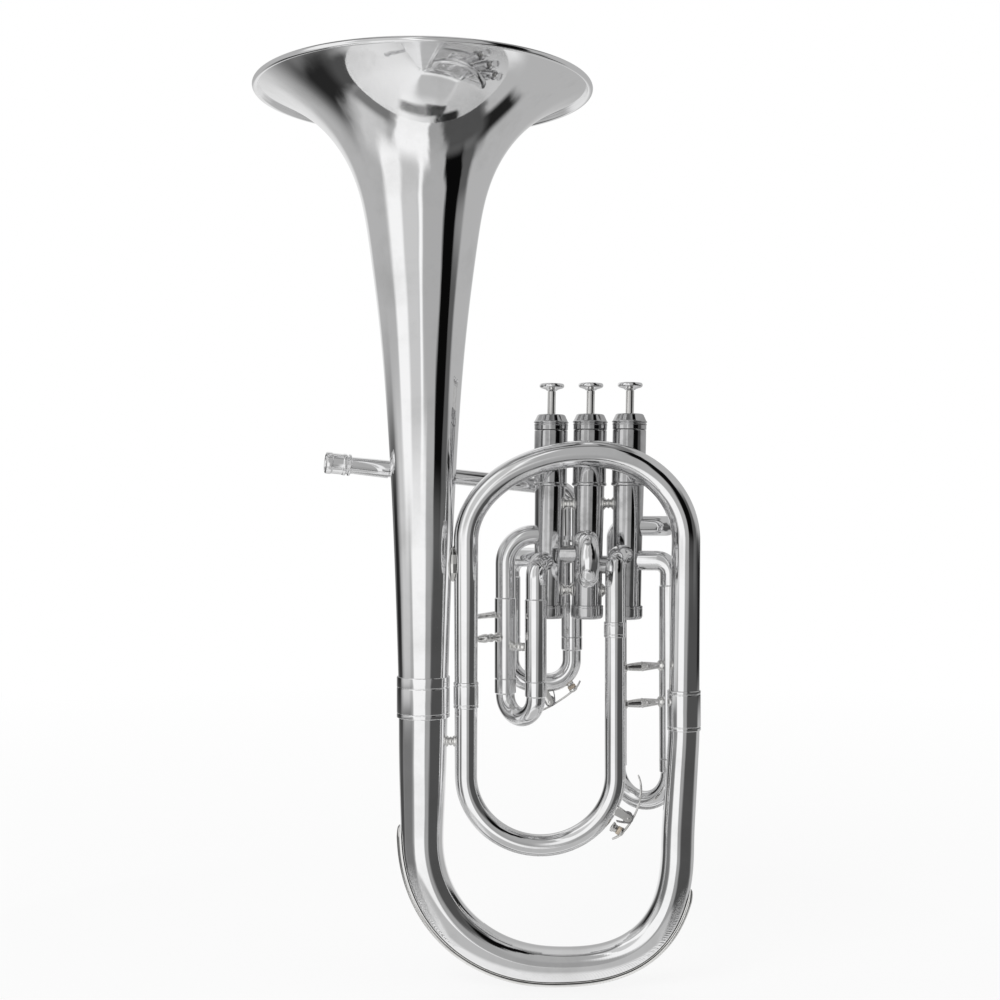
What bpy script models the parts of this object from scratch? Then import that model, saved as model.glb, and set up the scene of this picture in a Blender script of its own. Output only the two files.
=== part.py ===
"""An upright alto horn with three piston valves, in metres, +Z up.

The bell's axis and the three bows lie in the plane Y = 0, and the valve block stands behind them.
The origin is under the middle of the whole horn, on the surface that its lowest bow would touch.
"""

import math

import bmesh
import bpy
from mathutils import Matrix, Vector

# Clearances
GAP = 0.0003
SLIDE_CLEARANCE = 0.0003
PISTON_CLEARANCE = 0.0003
JOINT_CLEARANCE = 0.00035

# Walls
BELL_WALL = 0.0007
BOW_WALL = 0.0006
TUBE_WALL = 0.0006
SLIDE_WALL = 0.0005

# Bell
BELL_RIM_RADIUS = 0.1016
BELL_THROAT_RADIUS = 0.0147
BELL_FLARE_SCALE = 0.023
BELL_HOLLOW_DEPTH = 0.003
BELL_HOLLOW_BELOW_RIM = 0.053
BELL_HOLLOW_REACH = 0.038
BELL_LENGTH = 0.365
BELL_JOINT_HEIGHT = 0.174
BELL_BEAD_RADIUS = 0.0017
BELL_FERRULE_RADIUS = 0.0159
BELL_FERRULE_ABOVE = 0.0126
BELL_FERRULE_BELOW = 0.012
BELL_SIDES = 24

# Bottom bow
BELL_TO_RIGHT_LEG = 0.1564
BELL_TO_BOW_LOWEST = 0.0794
BOTTOM_BOW_DROP = 0.0772
BOTTOM_BOW_LEFT_POWER = 2.1
BOTTOM_BOW_RIGHT_POWER = 2.7
BOTTOM_BOW_LEFT_LEAN = 0.0007
BOTTOM_BOW_RIGHT_LEAN = 0.0038
BOTTOM_BOW_END_RADIUS = 0.0092
RIGHT_JOINT_HEIGHT = 0.166
RIGHT_FERRULE_RADIUS = 0.01
RIGHT_FERRULE_ABOVE = 0.0122
RIGHT_FERRULE_BELOW = 0.0118

# Guard under the bottom bow
GUARD_THICKNESS = 0.0024
GUARD_WIDTH = 0.0084
GUARD_LEFT_HEIGHT = 0.0978
GUARD_RIGHT_HEIGHT = 0.06

# Top bow
BELL_TO_INNER_LEG = 0.0256
TOP_BOW_CENTRE_HEIGHT = 0.2678
TOP_BOW_RISE = 0.0523
TOP_BOW_CROWN_OFF_MIDDLE = 0.0086
TOP_BOW_LEAN = 0.0012
TOP_BOW_START_RADIUS = 0.0092
TOP_BOW_END_RADIUS = 0.0068
INNER_JOINT_HEIGHT = 0.175
INNER_FERRULE_RADIUS = 0.0075
INNER_FERRULE_ABOVE = 0.008
INNER_FERRULE_BELOW = 0.0076

# Small bow and the elbow from the third valve
SMALL_BOW_WIDTH = 0.0895
SMALL_BOW_CENTRE_HEIGHT = 0.127
SMALL_BOW_DROP = 0.042
SMALL_BOW_START_RADIUS = 0.00685
SMALL_BOW_END_RADIUS = 0.0061
OUTLET_JOINT_HEIGHT = 0.2145
OUTLET_FERRULE_RADIUS = 0.0067
OUTLET_FERRULE_REACH = 0.0046
OUTLET_RADIUS = 0.006
OUTLET_BEND = 0.011

# Valve block: heights along a valve count from its casing's foot
VALVE_SPACING = 0.0242
VALVE_ROW_YAW = math.radians(8)
VALVE_LEAN = math.radians(1)
BELL_TO_MIDDLE_VALVE = 0.0997
MIDDLE_VALVE_DEPTH = 0.026
CASING_FOOT_HEIGHT = 0.226
CASING_RADIUS = 0.009
CASING_BORE = 0.0086
CASING_LENGTH = 0.076
CASING_BEAD_RADIUS = 0.0106
CASING_BEAD_WIDTH = 0.0022
BARREL_RADIUS = 0.0103
BARREL_LENGTH = 0.0335
PRESS_STROKE = 0.0145
CASING_BRACE_RADIUS = 0.0028
CASING_BRACE_FLANGE = 0.0039
CASING_BRACE_FLANGE_LENGTH = 0.0021
CASING_BRACE_TAPER = 0.0007
UPPER_CASING_BRACE = 0.0643
LOWER_CASING_BRACE = 0.0108

# Piston, its spring box and the spring
PISTON_FOOT = 0.012
PISTON_HEAD = 0.074
PISTON_PASSAGE_RADIUS = 0.0042
PASSAGE_DETOUR = 0.0044
SPRING_BOX_RADIUS = 0.006
SPRING_BOX_WALL = 0.0007
SPRING_BOX_TOP = 0.111
SPRING_BOX_CEILING = 0.0016
GUIDE_BAR_WIDTH = 0.003
GUIDE_BAR_HEIGHT = 0.002
SPRING_WIRE_RADIUS = 0.00045
SPRING_COIL_RADIUS = 0.0043
SPRING_TURNS = 4

# Stem, finger button and caps
STEM_RADIUS = 0.00255
STEM_FOOT_RADIUS = 0.0052
STEM_FOOT_HEIGHT = 0.0033
STEM_SPIGOT_RADIUS = 0.0016
STEM_SPIGOT_LENGTH = 0.0022
BUTTON_RADIUS = 0.0077
BUTTON_HEIGHT = 0.0044
TOP_CAP_RADIUS = 0.0105
TOP_CAP_RIDGE = 0.0003
TOP_CAP_SKIRT = 0.0047
TOP_CAP_CROWN_RADIUS = 0.0086
TOP_CAP_HEIGHT = 0.0095
TOP_CAP_CEILING = 0.0043
TOP_CAP_SPIGOT_WALL = 0.0009
TOP_CAP_SPIGOT_LENGTH = 0.0033
BOTTOM_CAP_RADIUS = 0.01
BOTTOM_CAP_WALL = 0.0007
BOTTOM_CAP_HEIGHT = 0.0085
BOTTOM_CAP_OVERLAP = 0.0015
BOTTOM_CAP_VENT = 0.0016

# Plain tubing and slide sleeves: rises count from the casings' feet, drops down from them
TUBE_RADIUS = 0.00605
SLEEVE_RADIUS = 0.0066
SLIDE_BOW_RADIUS = 0.0058
SLIDE_COLLAR_LENGTH = 0.009
KNUCKLE_RADIUS = 0.0056
FIRST_KNUCKLE_RISE = 0.033
SECOND_KNUCKLE_RISE = 0.0265
OUTLET_RISE = 0.033

# First valve slide
FIRST_LEFT_FROM_BELL = 0.0493
FIRST_LEFT_DEPTH = 0.028
FIRST_RIGHT_FROM_BELL = 0.0677
FIRST_RIGHT_DEPTH = 0.01
FIRST_LEFT_RISE = 0.045
FIRST_RIGHT_RISE = 0.0285
FIRST_LEFT_BEND = 0.0176
FIRST_RIGHT_BEND = 0.01
FIRST_SLEEVE_DROP = 0.0437
FIRST_SLEEVE_LENGTH = 0.0492
FIRST_BOW_DEPTH = 0.0228
FIRST_LEG_LENGTH = 0.046

# Second valve slide
SECOND_FROM_BELL = 0.0979
SECOND_UPPER_RISE = 0.042
SECOND_LOWER_RISE = 0.0202
SECOND_SLEEVE_RADIUS = 0.0062
SECOND_SLEEVE_END = -0.009
SECOND_BOW_FRONT = -0.0272
SECOND_LEG_LENGTH = 0.0215
SECOND_COLLAR_LENGTH = 0.004

# Third valve slide
THIRD_LEFT_FROM_BELL = 0.1189
THIRD_LEFT_DEPTH = 0.0405
THIRD_RIGHT_FROM_BELL = 0.1499
THIRD_RIGHT_DEPTH = 0.017
THIRD_UPPER_RISE = 0.0504
THIRD_LOWER_RISE = 0.0292
THIRD_TURN_FROM_BELL = 0.1494
THIRD_BEND = 0.008
THIRD_SLEEVE_DROP = 0.0914
THIRD_SLEEVE_LENGTH = 0.1052
THIRD_BOW_DEPTH = 0.028
THIRD_LEG_LENGTH = 0.062
THIRD_COLLAR_LENGTH = 0.0081

# Main tuning slide, leadpipe and mouthpiece receiver
MAIN_LEFT_FROM_BELL = 0.0523
MAIN_RIGHT_FROM_BELL = 0.0914
MAIN_DEPTH = 0.049
MAIN_RISE = 0.0306
MAIN_BEND = 0.01
MAIN_SLEEVE_DROP = 0.0197
MAIN_SLEEVE_LENGTH = 0.0377
MAIN_INLET_SLEEVE_LENGTH = 0.0637
MAIN_COLLAR_LENGTH = 0.008
MAIN_BOW_DEPTH = 0.0291
MAIN_BOW_BEND = 0.0148
MAIN_LEG_LENGTH = 0.032
LEADPIPE_RADIUS = 0.00475
LEADPIPE_ABOVE_SLEEVE = 0.0293
LEADPIPE_RISE = 0.0158
LEADPIPE_ADVANCE = 0.0381
LEADPIPE_BEND = 0.01
BELL_TO_RECEIVER = 0.0601
RECEIVER_LENGTH = 0.039
RECEIVER_COLLAR_RADIUS = 0.0066
RECEIVER_COLLAR_LENGTH = 0.0126
RECEIVER_TUBE_RADIUS = 0.0051
RECEIVER_END_RADIUS = 0.0055
RECEIVER_BORE = 0.0046
RECEIVER_BORE_DEPTH = 0.022
RECEIVER_BORE_TAPER = 0.00045

# Braces
BELL_BRACE_HEIGHT = 0.254
BELL_BRACE_TALL = 0.022
BELL_BRACE_DEEP = 0.012
LOWER_BRACE_HEIGHT = 0.1476
BEAD_BRACE_ABOVE_END = 0.0257
SPOOL_ABOVE_END = 0.0202
TUNING_ROD_ABOVE_END = 0.0147
TUNING_ROD_OFFSET = 0.0026
THIRD_UPPER_BRACE_ABOVE_END = 0.0569
THIRD_LOWER_BRACE_ABOVE_END = 0.0348
LEADPIPE_FLANGE_TALL = 0.018

# Water keys: arms count from the pivot pin, along the lever and away from the tube
KEY_PLATE_THICKNESS = 0.0012
KEY_WIDTH = 0.0062
KEY_HUB_RADIUS = 0.0026
KEY_PIN_RADIUS = 0.0008
KEY_EAR_WIDTH = 0.0011
KEY_EAR_RADIUS = 0.0021
KEY_FINGER_ARM = 0.025
KEY_CORK_RADIUS = 0.0029
KEY_CORK_THICKNESS = 0.0018
KEY_NIPPLE_RADIUS = 0.003
KEY_NIPPLE_BORE = 0.0013
KEY_EAR_REACH = 0.0105
KEY_NIPPLE_REACH = 0.0095
SMALL_KEY_CORK_ARM = 0.0095
SMALL_KEY_FROM_BELL = 0.1226
SMALL_KEY_BELOW_CENTRE = 0.0252
SMALL_KEY_SLOPE = math.radians(238.7)
MAIN_KEY_CORK_ARM = 0.0165
MAIN_KEY_FROM_BELL = 0.0776
MAIN_KEY_BELOW_BOW = 0.0118
MAIN_KEY_SLOPE = math.radians(31.1)

# Places that follow from the sizes above
BELL_RIM_HEIGHT = BELL_JOINT_HEIGHT + BELL_LENGTH
FIRST_KNUCKLE_HEIGHT = CASING_FOOT_HEIGHT + FIRST_KNUCKLE_RISE
SECOND_KNUCKLE_HEIGHT = CASING_FOOT_HEIGHT + SECOND_KNUCKLE_RISE
OUTLET_HEIGHT = CASING_FOOT_HEIGHT + OUTLET_RISE
FIRST_LEFT_PORT = CASING_FOOT_HEIGHT + FIRST_LEFT_RISE
FIRST_RIGHT_PORT = CASING_FOOT_HEIGHT + FIRST_RIGHT_RISE
FIRST_SLEEVE_END = CASING_FOOT_HEIGHT - FIRST_SLEEVE_DROP
FIRST_BOW_BOTTOM = FIRST_SLEEVE_END - FIRST_BOW_DEPTH
SECOND_UPPER_PORT = CASING_FOOT_HEIGHT + SECOND_UPPER_RISE
SECOND_LOWER_PORT = CASING_FOOT_HEIGHT + SECOND_LOWER_RISE
THIRD_UPPER_PORT = CASING_FOOT_HEIGHT + THIRD_UPPER_RISE
THIRD_LOWER_PORT = CASING_FOOT_HEIGHT + THIRD_LOWER_RISE
THIRD_SLEEVE_END = CASING_FOOT_HEIGHT - THIRD_SLEEVE_DROP
THIRD_BOW_BOTTOM = THIRD_SLEEVE_END - THIRD_BOW_DEPTH
MAIN_PORT = CASING_FOOT_HEIGHT + MAIN_RISE
MAIN_SLEEVE_END = CASING_FOOT_HEIGHT - MAIN_SLEEVE_DROP
MAIN_BOW_BOTTOM = MAIN_SLEEVE_END - MAIN_BOW_DEPTH
MAIN_INLET_SLEEVE_TOP = MAIN_SLEEVE_END + MAIN_INLET_SLEEVE_LENGTH
LEADPIPE_HEIGHT = MAIN_INLET_SLEEVE_TOP + LEADPIPE_ABOVE_SLEEVE
BEAD_BRACE_HEIGHT = FIRST_SLEEVE_END + BEAD_BRACE_ABOVE_END
SPOOL_HEIGHT = FIRST_SLEEVE_END + SPOOL_ABOVE_END
TUNING_ROD_HEIGHT = MAIN_SLEEVE_END + TUNING_ROD_ABOVE_END
THIRD_UPPER_BRACE = THIRD_SLEEVE_END + THIRD_UPPER_BRACE_ABOVE_END
THIRD_LOWER_BRACE = THIRD_SLEEVE_END + THIRD_LOWER_BRACE_ABOVE_END
SMALL_KEY_HEIGHT = SMALL_BOW_CENTRE_HEIGHT - SMALL_KEY_BELOW_CENTRE
MAIN_KEY_HEIGHT = MAIN_BOW_BOTTOM - MAIN_KEY_BELOW_BOW
HALF_WIDTH = (BELL_RIM_RADIUS + BELL_TO_RIGHT_LEG + RIGHT_FERRULE_RADIUS) / 2
BELL_X = BELL_RIM_RADIUS - HALF_WIDTH
RIGHT_LEG_X = BELL_X + BELL_TO_RIGHT_LEG
INNER_LEG_X = BELL_X + BELL_TO_INNER_LEG
OUTLET_X = INNER_LEG_X + SMALL_BOW_WIDTH
CASING_TOP = CASING_LENGTH + BARREL_LENGTH
TUBE_SIDES = 12
SLIDE_SIDES = 10
BOW_SIDES = 12
VALVE_SIDES = 16
BEND_STEPS = 4
OPEN_STEP = 0.0002


def clear_scene():
    for obj in list(bpy.data.objects):
        bpy.data.objects.remove(obj)


def new_collection(name):
    collection = bpy.data.collections.new(name)
    bpy.context.scene.collection.children.link(collection)
    return collection


def new_material(name, colour, roughness, metallic):
    material = bpy.data.materials.new(name)
    material.use_nodes = True
    shader = material.node_tree.nodes["Principled BSDF"]
    shader.inputs["Base Color"].default_value = (*colour, 1)
    shader.inputs["Roughness"].default_value = roughness
    shader.inputs["Metallic"].default_value = metallic
    return material


clear_scene()
PARTS = new_collection("alto_horn")
CUTTERS = new_collection("alto_horn_cutters")
SILVER = new_material("silver_plate", (0.86, 0.86, 0.87), 0.08, 1)
NICKEL = new_material("polished_nickel_silver", (0.78, 0.78, 0.79), 0.14, 1)
PISTON_METAL = new_material("lapped_piston_metal", (0.66, 0.67, 0.68), 0.3, 1)
SPRING_STEEL = new_material("spring_steel", (0.5, 0.5, 0.52), 0.35, 1)
CORK = new_material("pad_cork", (0.62, 0.43, 0.26), 0.9, 0)


def add_object(name, mesh, material, parent=None, matrix=None):
    """A part when it has a material, and otherwise a cutter."""
    obj = bpy.data.objects.new(name, mesh)
    if material:
        mesh.materials.append(material)
        PARTS.objects.link(obj)
    else:
        CUTTERS.objects.link(obj)
        obj.hide_render = True
        obj.display_type = "WIRE"
    if parent:
        obj.parent = parent
    if matrix:
        obj.matrix_local = matrix
    return obj


def add_empty(name, matrix):
    empty = bpy.data.objects.new(name, None)
    PARTS.objects.link(empty)
    empty.matrix_local = matrix
    return empty


def combine(target, other, operation="DIFFERENCE"):
    modifier = target.modifiers.new(operation.lower() + "_" + other.name, "BOOLEAN")
    modifier.operation = operation
    modifier.object = other


def along(start, end):
    """The matrix that puts local Z on the line from start to end, with its origin at start."""
    turn = (Vector(end) - Vector(start)).to_track_quat("Z", "Y")
    return Matrix.Translation(start) @ turn.to_matrix().to_4x4()


def cylinder(name, start, end, radius, sides=24, parent=None, material=None):
    length = (Vector(end) - Vector(start)).length
    shape = bmesh.new()
    bmesh.ops.create_cone(
        shape, cap_ends=True, segments=sides, radius1=radius, radius2=radius, depth=length
    )
    bmesh.ops.translate(shape, verts=shape.verts, vec=(0, 0, length / 2))
    mesh = bpy.data.meshes.new(name)
    shape.to_mesh(mesh)
    shape.free()
    return add_object(name, mesh, material, parent, along(start, end))


def block(name, low, high, parent=None, material=None):
    shape = bmesh.new()
    bmesh.ops.create_cube(shape, size=1)
    size = Vector(high) - Vector(low)
    bmesh.ops.scale(shape, verts=shape.verts, vec=size)
    bmesh.ops.translate(shape, verts=shape.verts, vec=(Vector(low) + Vector(high)) / 2)
    mesh = bpy.data.meshes.new(name)
    shape.to_mesh(mesh)
    shape.free()
    return add_object(name, mesh, material, parent)


def shade(obj):
    obj.data.shade_smooth()
    obj.data.set_sharp_from_angle(angle=math.radians(40))


def turned(name, profile, sides, material=SILVER, parent=None, matrix=None, closed=True):
    """A profile of (radius, height) pairs, down its outer side first, turned about local Z."""
    count = len(profile)
    edges = [(k, k + 1) for k in range(count - 1)]
    if closed:
        edges.append((count - 1, 0))
    mesh = bpy.data.meshes.new(name)
    mesh.from_pydata([(radius, 0, height) for radius, height in profile], edges, [])
    obj = add_object(name, mesh, material, parent, matrix)
    screw = obj.modifiers.new("turn", "SCREW")
    screw.steps = sides
    screw.render_steps = sides
    screw.use_merge_vertices = True
    screw.merge_threshold = 0.00001
    screw.use_smooth_shade = True
    return obj


def rounded_path(corners, bends, steps=BEND_STEPS):
    """Straight runs between the corners, with a circular bend of its own radius at each inner one."""
    corners = [Vector(corner) for corner in corners]
    points = [corners[0]]
    for before, corner, after, radius in zip(corners, corners[1:], corners[2:], bends):
        back = (before - corner).normalized()
        ahead = (after - corner).normalized()
        half_turn = (math.pi - back.angle(ahead)) / 2
        centre = corner + (back + ahead).normalized() * radius / math.cos(half_turn)
        first = corner + back * radius * math.tan(half_turn) - centre
        for k in range(steps + 1):
            angle = 2 * half_turn * k / steps
            points.append(centre + first * math.cos(angle) - back * radius * math.sin(angle))
    points.append(corners[-1])
    apart = [points[0]]
    for point in points[1:]:
        if (point - apart[-1]).length > GAP:
            apart.append(point)
    return apart


def lengths_along(points):
    total = [0.0]
    for before, after in zip(points, points[1:]):
        total.append(total[-1] + (after - before).length)
    return total


def place_along(points, stations):
    """Adds a point at each station and gives every point its radius, straight from station to station."""
    marks = lengths_along(points)
    distances = sorted({round(d, 7) for d in marks + [s[0] for s in stations] if d <= marks[-1]})
    placed = []
    for distance in distances:
        k = max(i for i, mark in enumerate(marks[:-1]) if mark <= distance + 1e-7)
        share = (distance - marks[k]) / (marks[k + 1] - marks[k])
        point = points[k].lerp(points[k + 1], share)
        if distance <= stations[0][0]:
            radius = stations[0][1]
        elif distance >= stations[-1][0]:
            radius = stations[-1][1]
        else:
            pairs = zip(stations, stations[1:])
            (d0, r0), (d1, r1) = next(p for p in pairs if p[1][0] >= distance)
            radius = r0 + (r1 - r0) * (distance - d0) / (d1 - d0)
        placed.append((point, radius))
    return placed


def curve_mesh(name, placed, sides, capped):
    """The mesh of a bevelled curve through (point, radius) pairs."""
    largest = max(radius for point, radius in placed)
    curve = bpy.data.curves.new(name, "CURVE")
    curve.dimensions = "3D"
    curve.bevel_depth = largest
    curve.bevel_resolution = (sides - 4) // 2
    curve.use_fill_caps = capped
    spline = curve.splines.new("POLY")
    spline.points.add(len(placed) - 1)
    for target, (point, radius) in zip(spline.points, placed):
        target.co = (*point, 1)
        target.radius = radius / largest
    guide = bpy.data.objects.new(name + "_path", curve)
    CUTTERS.objects.link(guide)
    mesh = bpy.data.meshes.new_from_object(guide.evaluated_get(bpy.context.evaluated_depsgraph_get()))
    mesh.name = name
    bpy.data.objects.remove(guide)
    shape = bmesh.new()
    shape.from_mesh(mesh)
    bmesh.ops.remove_doubles(shape, verts=shape.verts, dist=0.00001)
    bmesh.ops.recalc_face_normals(shape, faces=shape.faces)
    shape.to_mesh(mesh)
    shape.free()
    return mesh


def hollow_tube(name, points, stations, wall=TUBE_WALL, sides=TUBE_SIDES, material=SILVER, parent=None):
    """A tube along the points. Stations are (distance, outer radius) pairs."""
    obj = add_object(name, curve_mesh(name, place_along(points, stations), sides, False), material, parent)
    shell = obj.modifiers.new("wall", "SOLIDIFY")
    shell.thickness = wall
    shell.offset = -1
    shell.use_even_offset = True
    shade(obj)
    return obj


def solid_rod(name, placed, sides, material, parent=None):
    return add_object(name, curve_mesh(name, placed, sides, True), material, parent)


def rod_and_bore(name, points, stations, bore_stations, sides=SLIDE_SIDES):
    """A tube still solid, for pieces to be joined to, and the bore to cut from it after them."""
    rod = solid_rod(name, place_along(points, stations), sides, SILVER)
    shade(rod)
    bore = place_along(points, bore_stations)
    first = bore[0][0] + (bore[0][0] - bore[1][0]).normalized() * SLIDE_BOW_RADIUS
    last = bore[-1][0] + (bore[-1][0] - bore[-2][0]).normalized() * SLIDE_BOW_RADIUS
    placed = [(first, bore[0][1])] + bore[1:-1] + [(last, bore[-1][1])]
    return rod, solid_rod(name + "_bore", placed, sides, None)


def bow_points(left, crown_x, right, centre_height, rise, lean, steps):
    """From the left end along its leg, round two quarters of ellipse that meet at the crown, to the right end."""
    points = [Vector((left[0], 0, left[1]))]
    for k in range(steps + 1):
        angle = math.pi * k / steps
        reach = crown_x - left[0] if 2 * k < steps else right[0] + lean - crown_x
        points.append(Vector((crown_x - reach * math.cos(angle), 0, centre_height + rise * math.sin(angle))))
    points.append(Vector((right[0], 0, right[1])))
    return points


def even_taper(points, first, last):
    return [(0, first), (lengths_along(points)[-1], last)]


def bell_radius(height):
    """Outer radius at a height: the rim's radius times a falling power of the depth below it, less a wide hollow."""
    length = BELL_RIM_HEIGHT - BELL_JOINT_HEIGHT
    ratio = math.log(BELL_RIM_RADIUS / BELL_THROAT_RADIUS)
    power = ratio / math.log(1 + length / BELL_FLARE_SCALE)
    off = (BELL_RIM_HEIGHT - BELL_HOLLOW_BELOW_RIM - height) / BELL_HOLLOW_REACH
    hollow = BELL_HOLLOW_DEPTH * math.exp(-(off**2))
    return BELL_RIM_RADIUS * (1 + (BELL_RIM_HEIGHT - height) / BELL_FLARE_SCALE) ** -power - hollow


def bell_heights(steps=10):
    """Heights from the rim down to the joint, closer together in the flare."""
    top = BELL_RIM_HEIGHT - 2 * BELL_BEAD_RADIUS
    length = top - BELL_JOINT_HEIGHT - GAP / 2
    return [top - length * (k / steps) ** 1.9 for k in range(steps + 1)]


def make_bell():
    """The flare's wall with a bead rolled outwards round the rim, its top a narrow flat."""
    heights = bell_heights()
    bead_x = BELL_RIM_RADIUS - BELL_BEAD_RADIUS
    bead_z = BELL_RIM_HEIGHT - BELL_BEAD_RADIUS * math.sin(math.radians(70))
    bead = []
    for degrees in (110, 70, 0, -70):
        turn = math.radians(degrees)
        radius = bead_x + BELL_BEAD_RADIUS * math.cos(turn)
        bead.append((radius, bead_z + BELL_BEAD_RADIUS * math.sin(turn)))
    outer = [(bell_radius(z) - BELL_BEAD_RADIUS, z) for z in heights[:1]]
    outer += [(bell_radius(z), z) for z in heights[1:]]
    inner = [(bell_radius(z) - BELL_WALL, z) for z in heights[1:]]
    neck = (bead[0][0] - BELL_WALL, bead[0][1] - BELL_WALL)
    profile = bead + outer[1:] + inner[::-1] + [neck]
    return turned("bell", profile, BELL_SIDES, matrix=Matrix.Translation((BELL_X, 0, 0)))


def make_bell_ferrule():
    """A sleeve over the butt joint of the bell and the bottom bow."""
    top = BELL_JOINT_HEIGHT + BELL_FERRULE_ABOVE
    bottom = BELL_JOINT_HEIGHT - BELL_FERRULE_BELOW
    profile = [
        (BELL_FERRULE_RADIUS, top),
        (BELL_FERRULE_RADIUS, bottom),
        (BELL_THROAT_RADIUS + JOINT_CLEARANCE, bottom),
        (BELL_THROAT_RADIUS + JOINT_CLEARANCE, BELL_JOINT_HEIGHT),
        (bell_radius(top) + JOINT_CLEARANCE, top),
    ]
    turned("bell_ferrule", profile, BELL_SIDES, matrix=Matrix.Translation((BELL_X, 0, 0)))


def make_ferrule(name, x, joint, above, below, outer, tube_radius):
    inner = tube_radius + JOINT_CLEARANCE
    profile = [(outer, joint + above), (outer, joint - below), (inner, joint - below), (inner, joint + above)]
    turned(name, profile, 16, matrix=Matrix.Translation((x, 0, 0)))


def bottom_bow_centre_height():
    """The lowest face of the guard lies at height zero."""
    points = bottom_bow_path(0)
    lowest = min(range(len(points)), key=lambda k: points[k].z)
    marks = lengths_along(points)
    return BOTTOM_BOW_DROP + bottom_bow_radius(marks[lowest] / marks[-1]) + GAP + GUARD_THICKNESS


def bottom_bow_path(centre_height, steps=8):
    """Down the left leg, round two quarters of superellipses that meet at the lowest point, and up the right leg."""
    lowest = BELL_X + BELL_TO_BOW_LOWEST
    left = lowest - (BELL_X - BOTTOM_BOW_LEFT_LEAN)
    right = RIGHT_LEG_X - BOTTOM_BOW_RIGHT_LEAN - lowest
    points = [Vector((BELL_X, 0, BELL_JOINT_HEIGHT - GAP / 2))]
    for k in range(steps + 1):
        angle = math.pi / 2 * k / steps
        across, down = math.cos(angle) ** (2 / BOTTOM_BOW_LEFT_POWER), math.sin(angle) ** (2 / BOTTOM_BOW_LEFT_POWER)
        points.append(Vector((lowest - left * across, 0, centre_height - BOTTOM_BOW_DROP * down)))
    for k in range(1, steps + 1):
        angle = math.pi / 2 * k / steps
        across, down = math.sin(angle) ** (2 / BOTTOM_BOW_RIGHT_POWER), math.cos(angle) ** (2 / BOTTOM_BOW_RIGHT_POWER)
        points.append(Vector((lowest + right * across, 0, centre_height - BOTTOM_BOW_DROP * down)))
    points.append(Vector((RIGHT_LEG_X, 0, RIGHT_JOINT_HEIGHT - RIGHT_FERRULE_BELOW - 0.002)))
    points.append(Vector((RIGHT_LEG_X, 0, RIGHT_JOINT_HEIGHT - GAP / 2)))
    return points


# How much of its taper the bottom bow has run through, at shares of its length
BOTTOM_BOW_TAPER = ((0, 0), (0.22, 0.42), (0.35, 0.47), (0.51, 0.745), (0.575, 0.82), (0.8, 0.88), (1, 1))


def bottom_bow_radius(share):
    before, after = next(pair for pair in zip(BOTTOM_BOW_TAPER, BOTTOM_BOW_TAPER[1:]) if share <= pair[1][0] + 1e-9)
    taper = before[1] + (after[1] - before[1]) * (share - before[0]) / (after[0] - before[0])
    return BELL_THROAT_RADIUS + (BOTTOM_BOW_END_RADIUS - BELL_THROAT_RADIUS) * taper


def make_bottom_bow():
    points = bottom_bow_path(BOTTOM_BOW_CENTRE)
    total = lengths_along(points)[-1]
    stations = [(share * total, bottom_bow_radius(share)) for share, taper in BOTTOM_BOW_TAPER]
    return hollow_tube("bottom_bow", points, stations, BOW_WALL, 14)


def guard_run():
    """The guard's centre line: beside the bottom bow, from the left height down and up to the right one."""
    path = bottom_bow_path(BOTTOM_BOW_CENTRE)
    marks = lengths_along(path)
    line = []
    for k, point in enumerate(path):
        ahead = (path[min(k + 1, len(path) - 1)] - path[max(k - 1, 0)]).normalized()
        stand_off = bottom_bow_radius(marks[k] / marks[-1]) + GAP + GUARD_THICKNESS / 2
        line.append(point + Vector((ahead.z, 0, -ahead.x)) * stand_off)
    run = []
    for before, after in zip(line, line[1:]):
        limit = GUARD_LEFT_HEIGHT if after.z < before.z else GUARD_RIGHT_HEIGHT
        if (before.z - limit) * (after.z - limit) < 0:
            run.append(before.lerp(after, (limit - before.z) / (after.z - before.z)))
        if after.z < limit:
            run.append(after)
    return run


def make_bow_guard():
    """A rounded strip along the outside of the bottom bow, its ends tapering to a round nose."""
    run = guard_run()
    half = GUARD_THICKNESS / 2
    total = lengths_along(run)[-1]
    nose = GUARD_THICKNESS
    stations = [(0, half * 0.5), (nose, half), (total - nose, half), (total, half * 0.5)]
    mesh = curve_mesh("bow_guard", place_along(run, stations), 8, True)
    for vertex in mesh.vertices:
        vertex.co.y *= GUARD_WIDTH / GUARD_THICKNESS
    guard = add_object("bow_guard", mesh, NICKEL)
    shade(guard)


def make_top_bow():
    left_end = INNER_LEG_X, INNER_JOINT_HEIGHT + GAP / 2
    right_end = RIGHT_LEG_X, RIGHT_JOINT_HEIGHT + GAP / 2
    crown_x = (INNER_LEG_X + RIGHT_LEG_X) / 2 + TOP_BOW_CROWN_OFF_MIDDLE
    points = bow_points(left_end, crown_x, right_end, TOP_BOW_CENTRE_HEIGHT, TOP_BOW_RISE, TOP_BOW_LEAN, 12)
    stations = even_taper(points, TOP_BOW_END_RADIUS, TOP_BOW_START_RADIUS)
    hollow_tube("top_bow", points, stations, BOW_WALL, BOW_SIDES)


def make_small_bow():
    left_end = INNER_LEG_X, INNER_JOINT_HEIGHT - GAP / 2
    right_end = OUTLET_X, OUTLET_JOINT_HEIGHT - GAP / 2
    crown_x = (INNER_LEG_X + OUTLET_X) / 2
    points = bow_points(left_end, crown_x, right_end, SMALL_BOW_CENTRE_HEIGHT, -SMALL_BOW_DROP, 0, 10)
    stations = even_taper(points, SMALL_BOW_START_RADIUS, SMALL_BOW_END_RADIUS)
    inner = even_taper(points, SMALL_BOW_START_RADIUS - BOW_WALL, SMALL_BOW_END_RADIUS - BOW_WALL)
    return rod_and_bore("small_bow", points, stations, inner)


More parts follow.
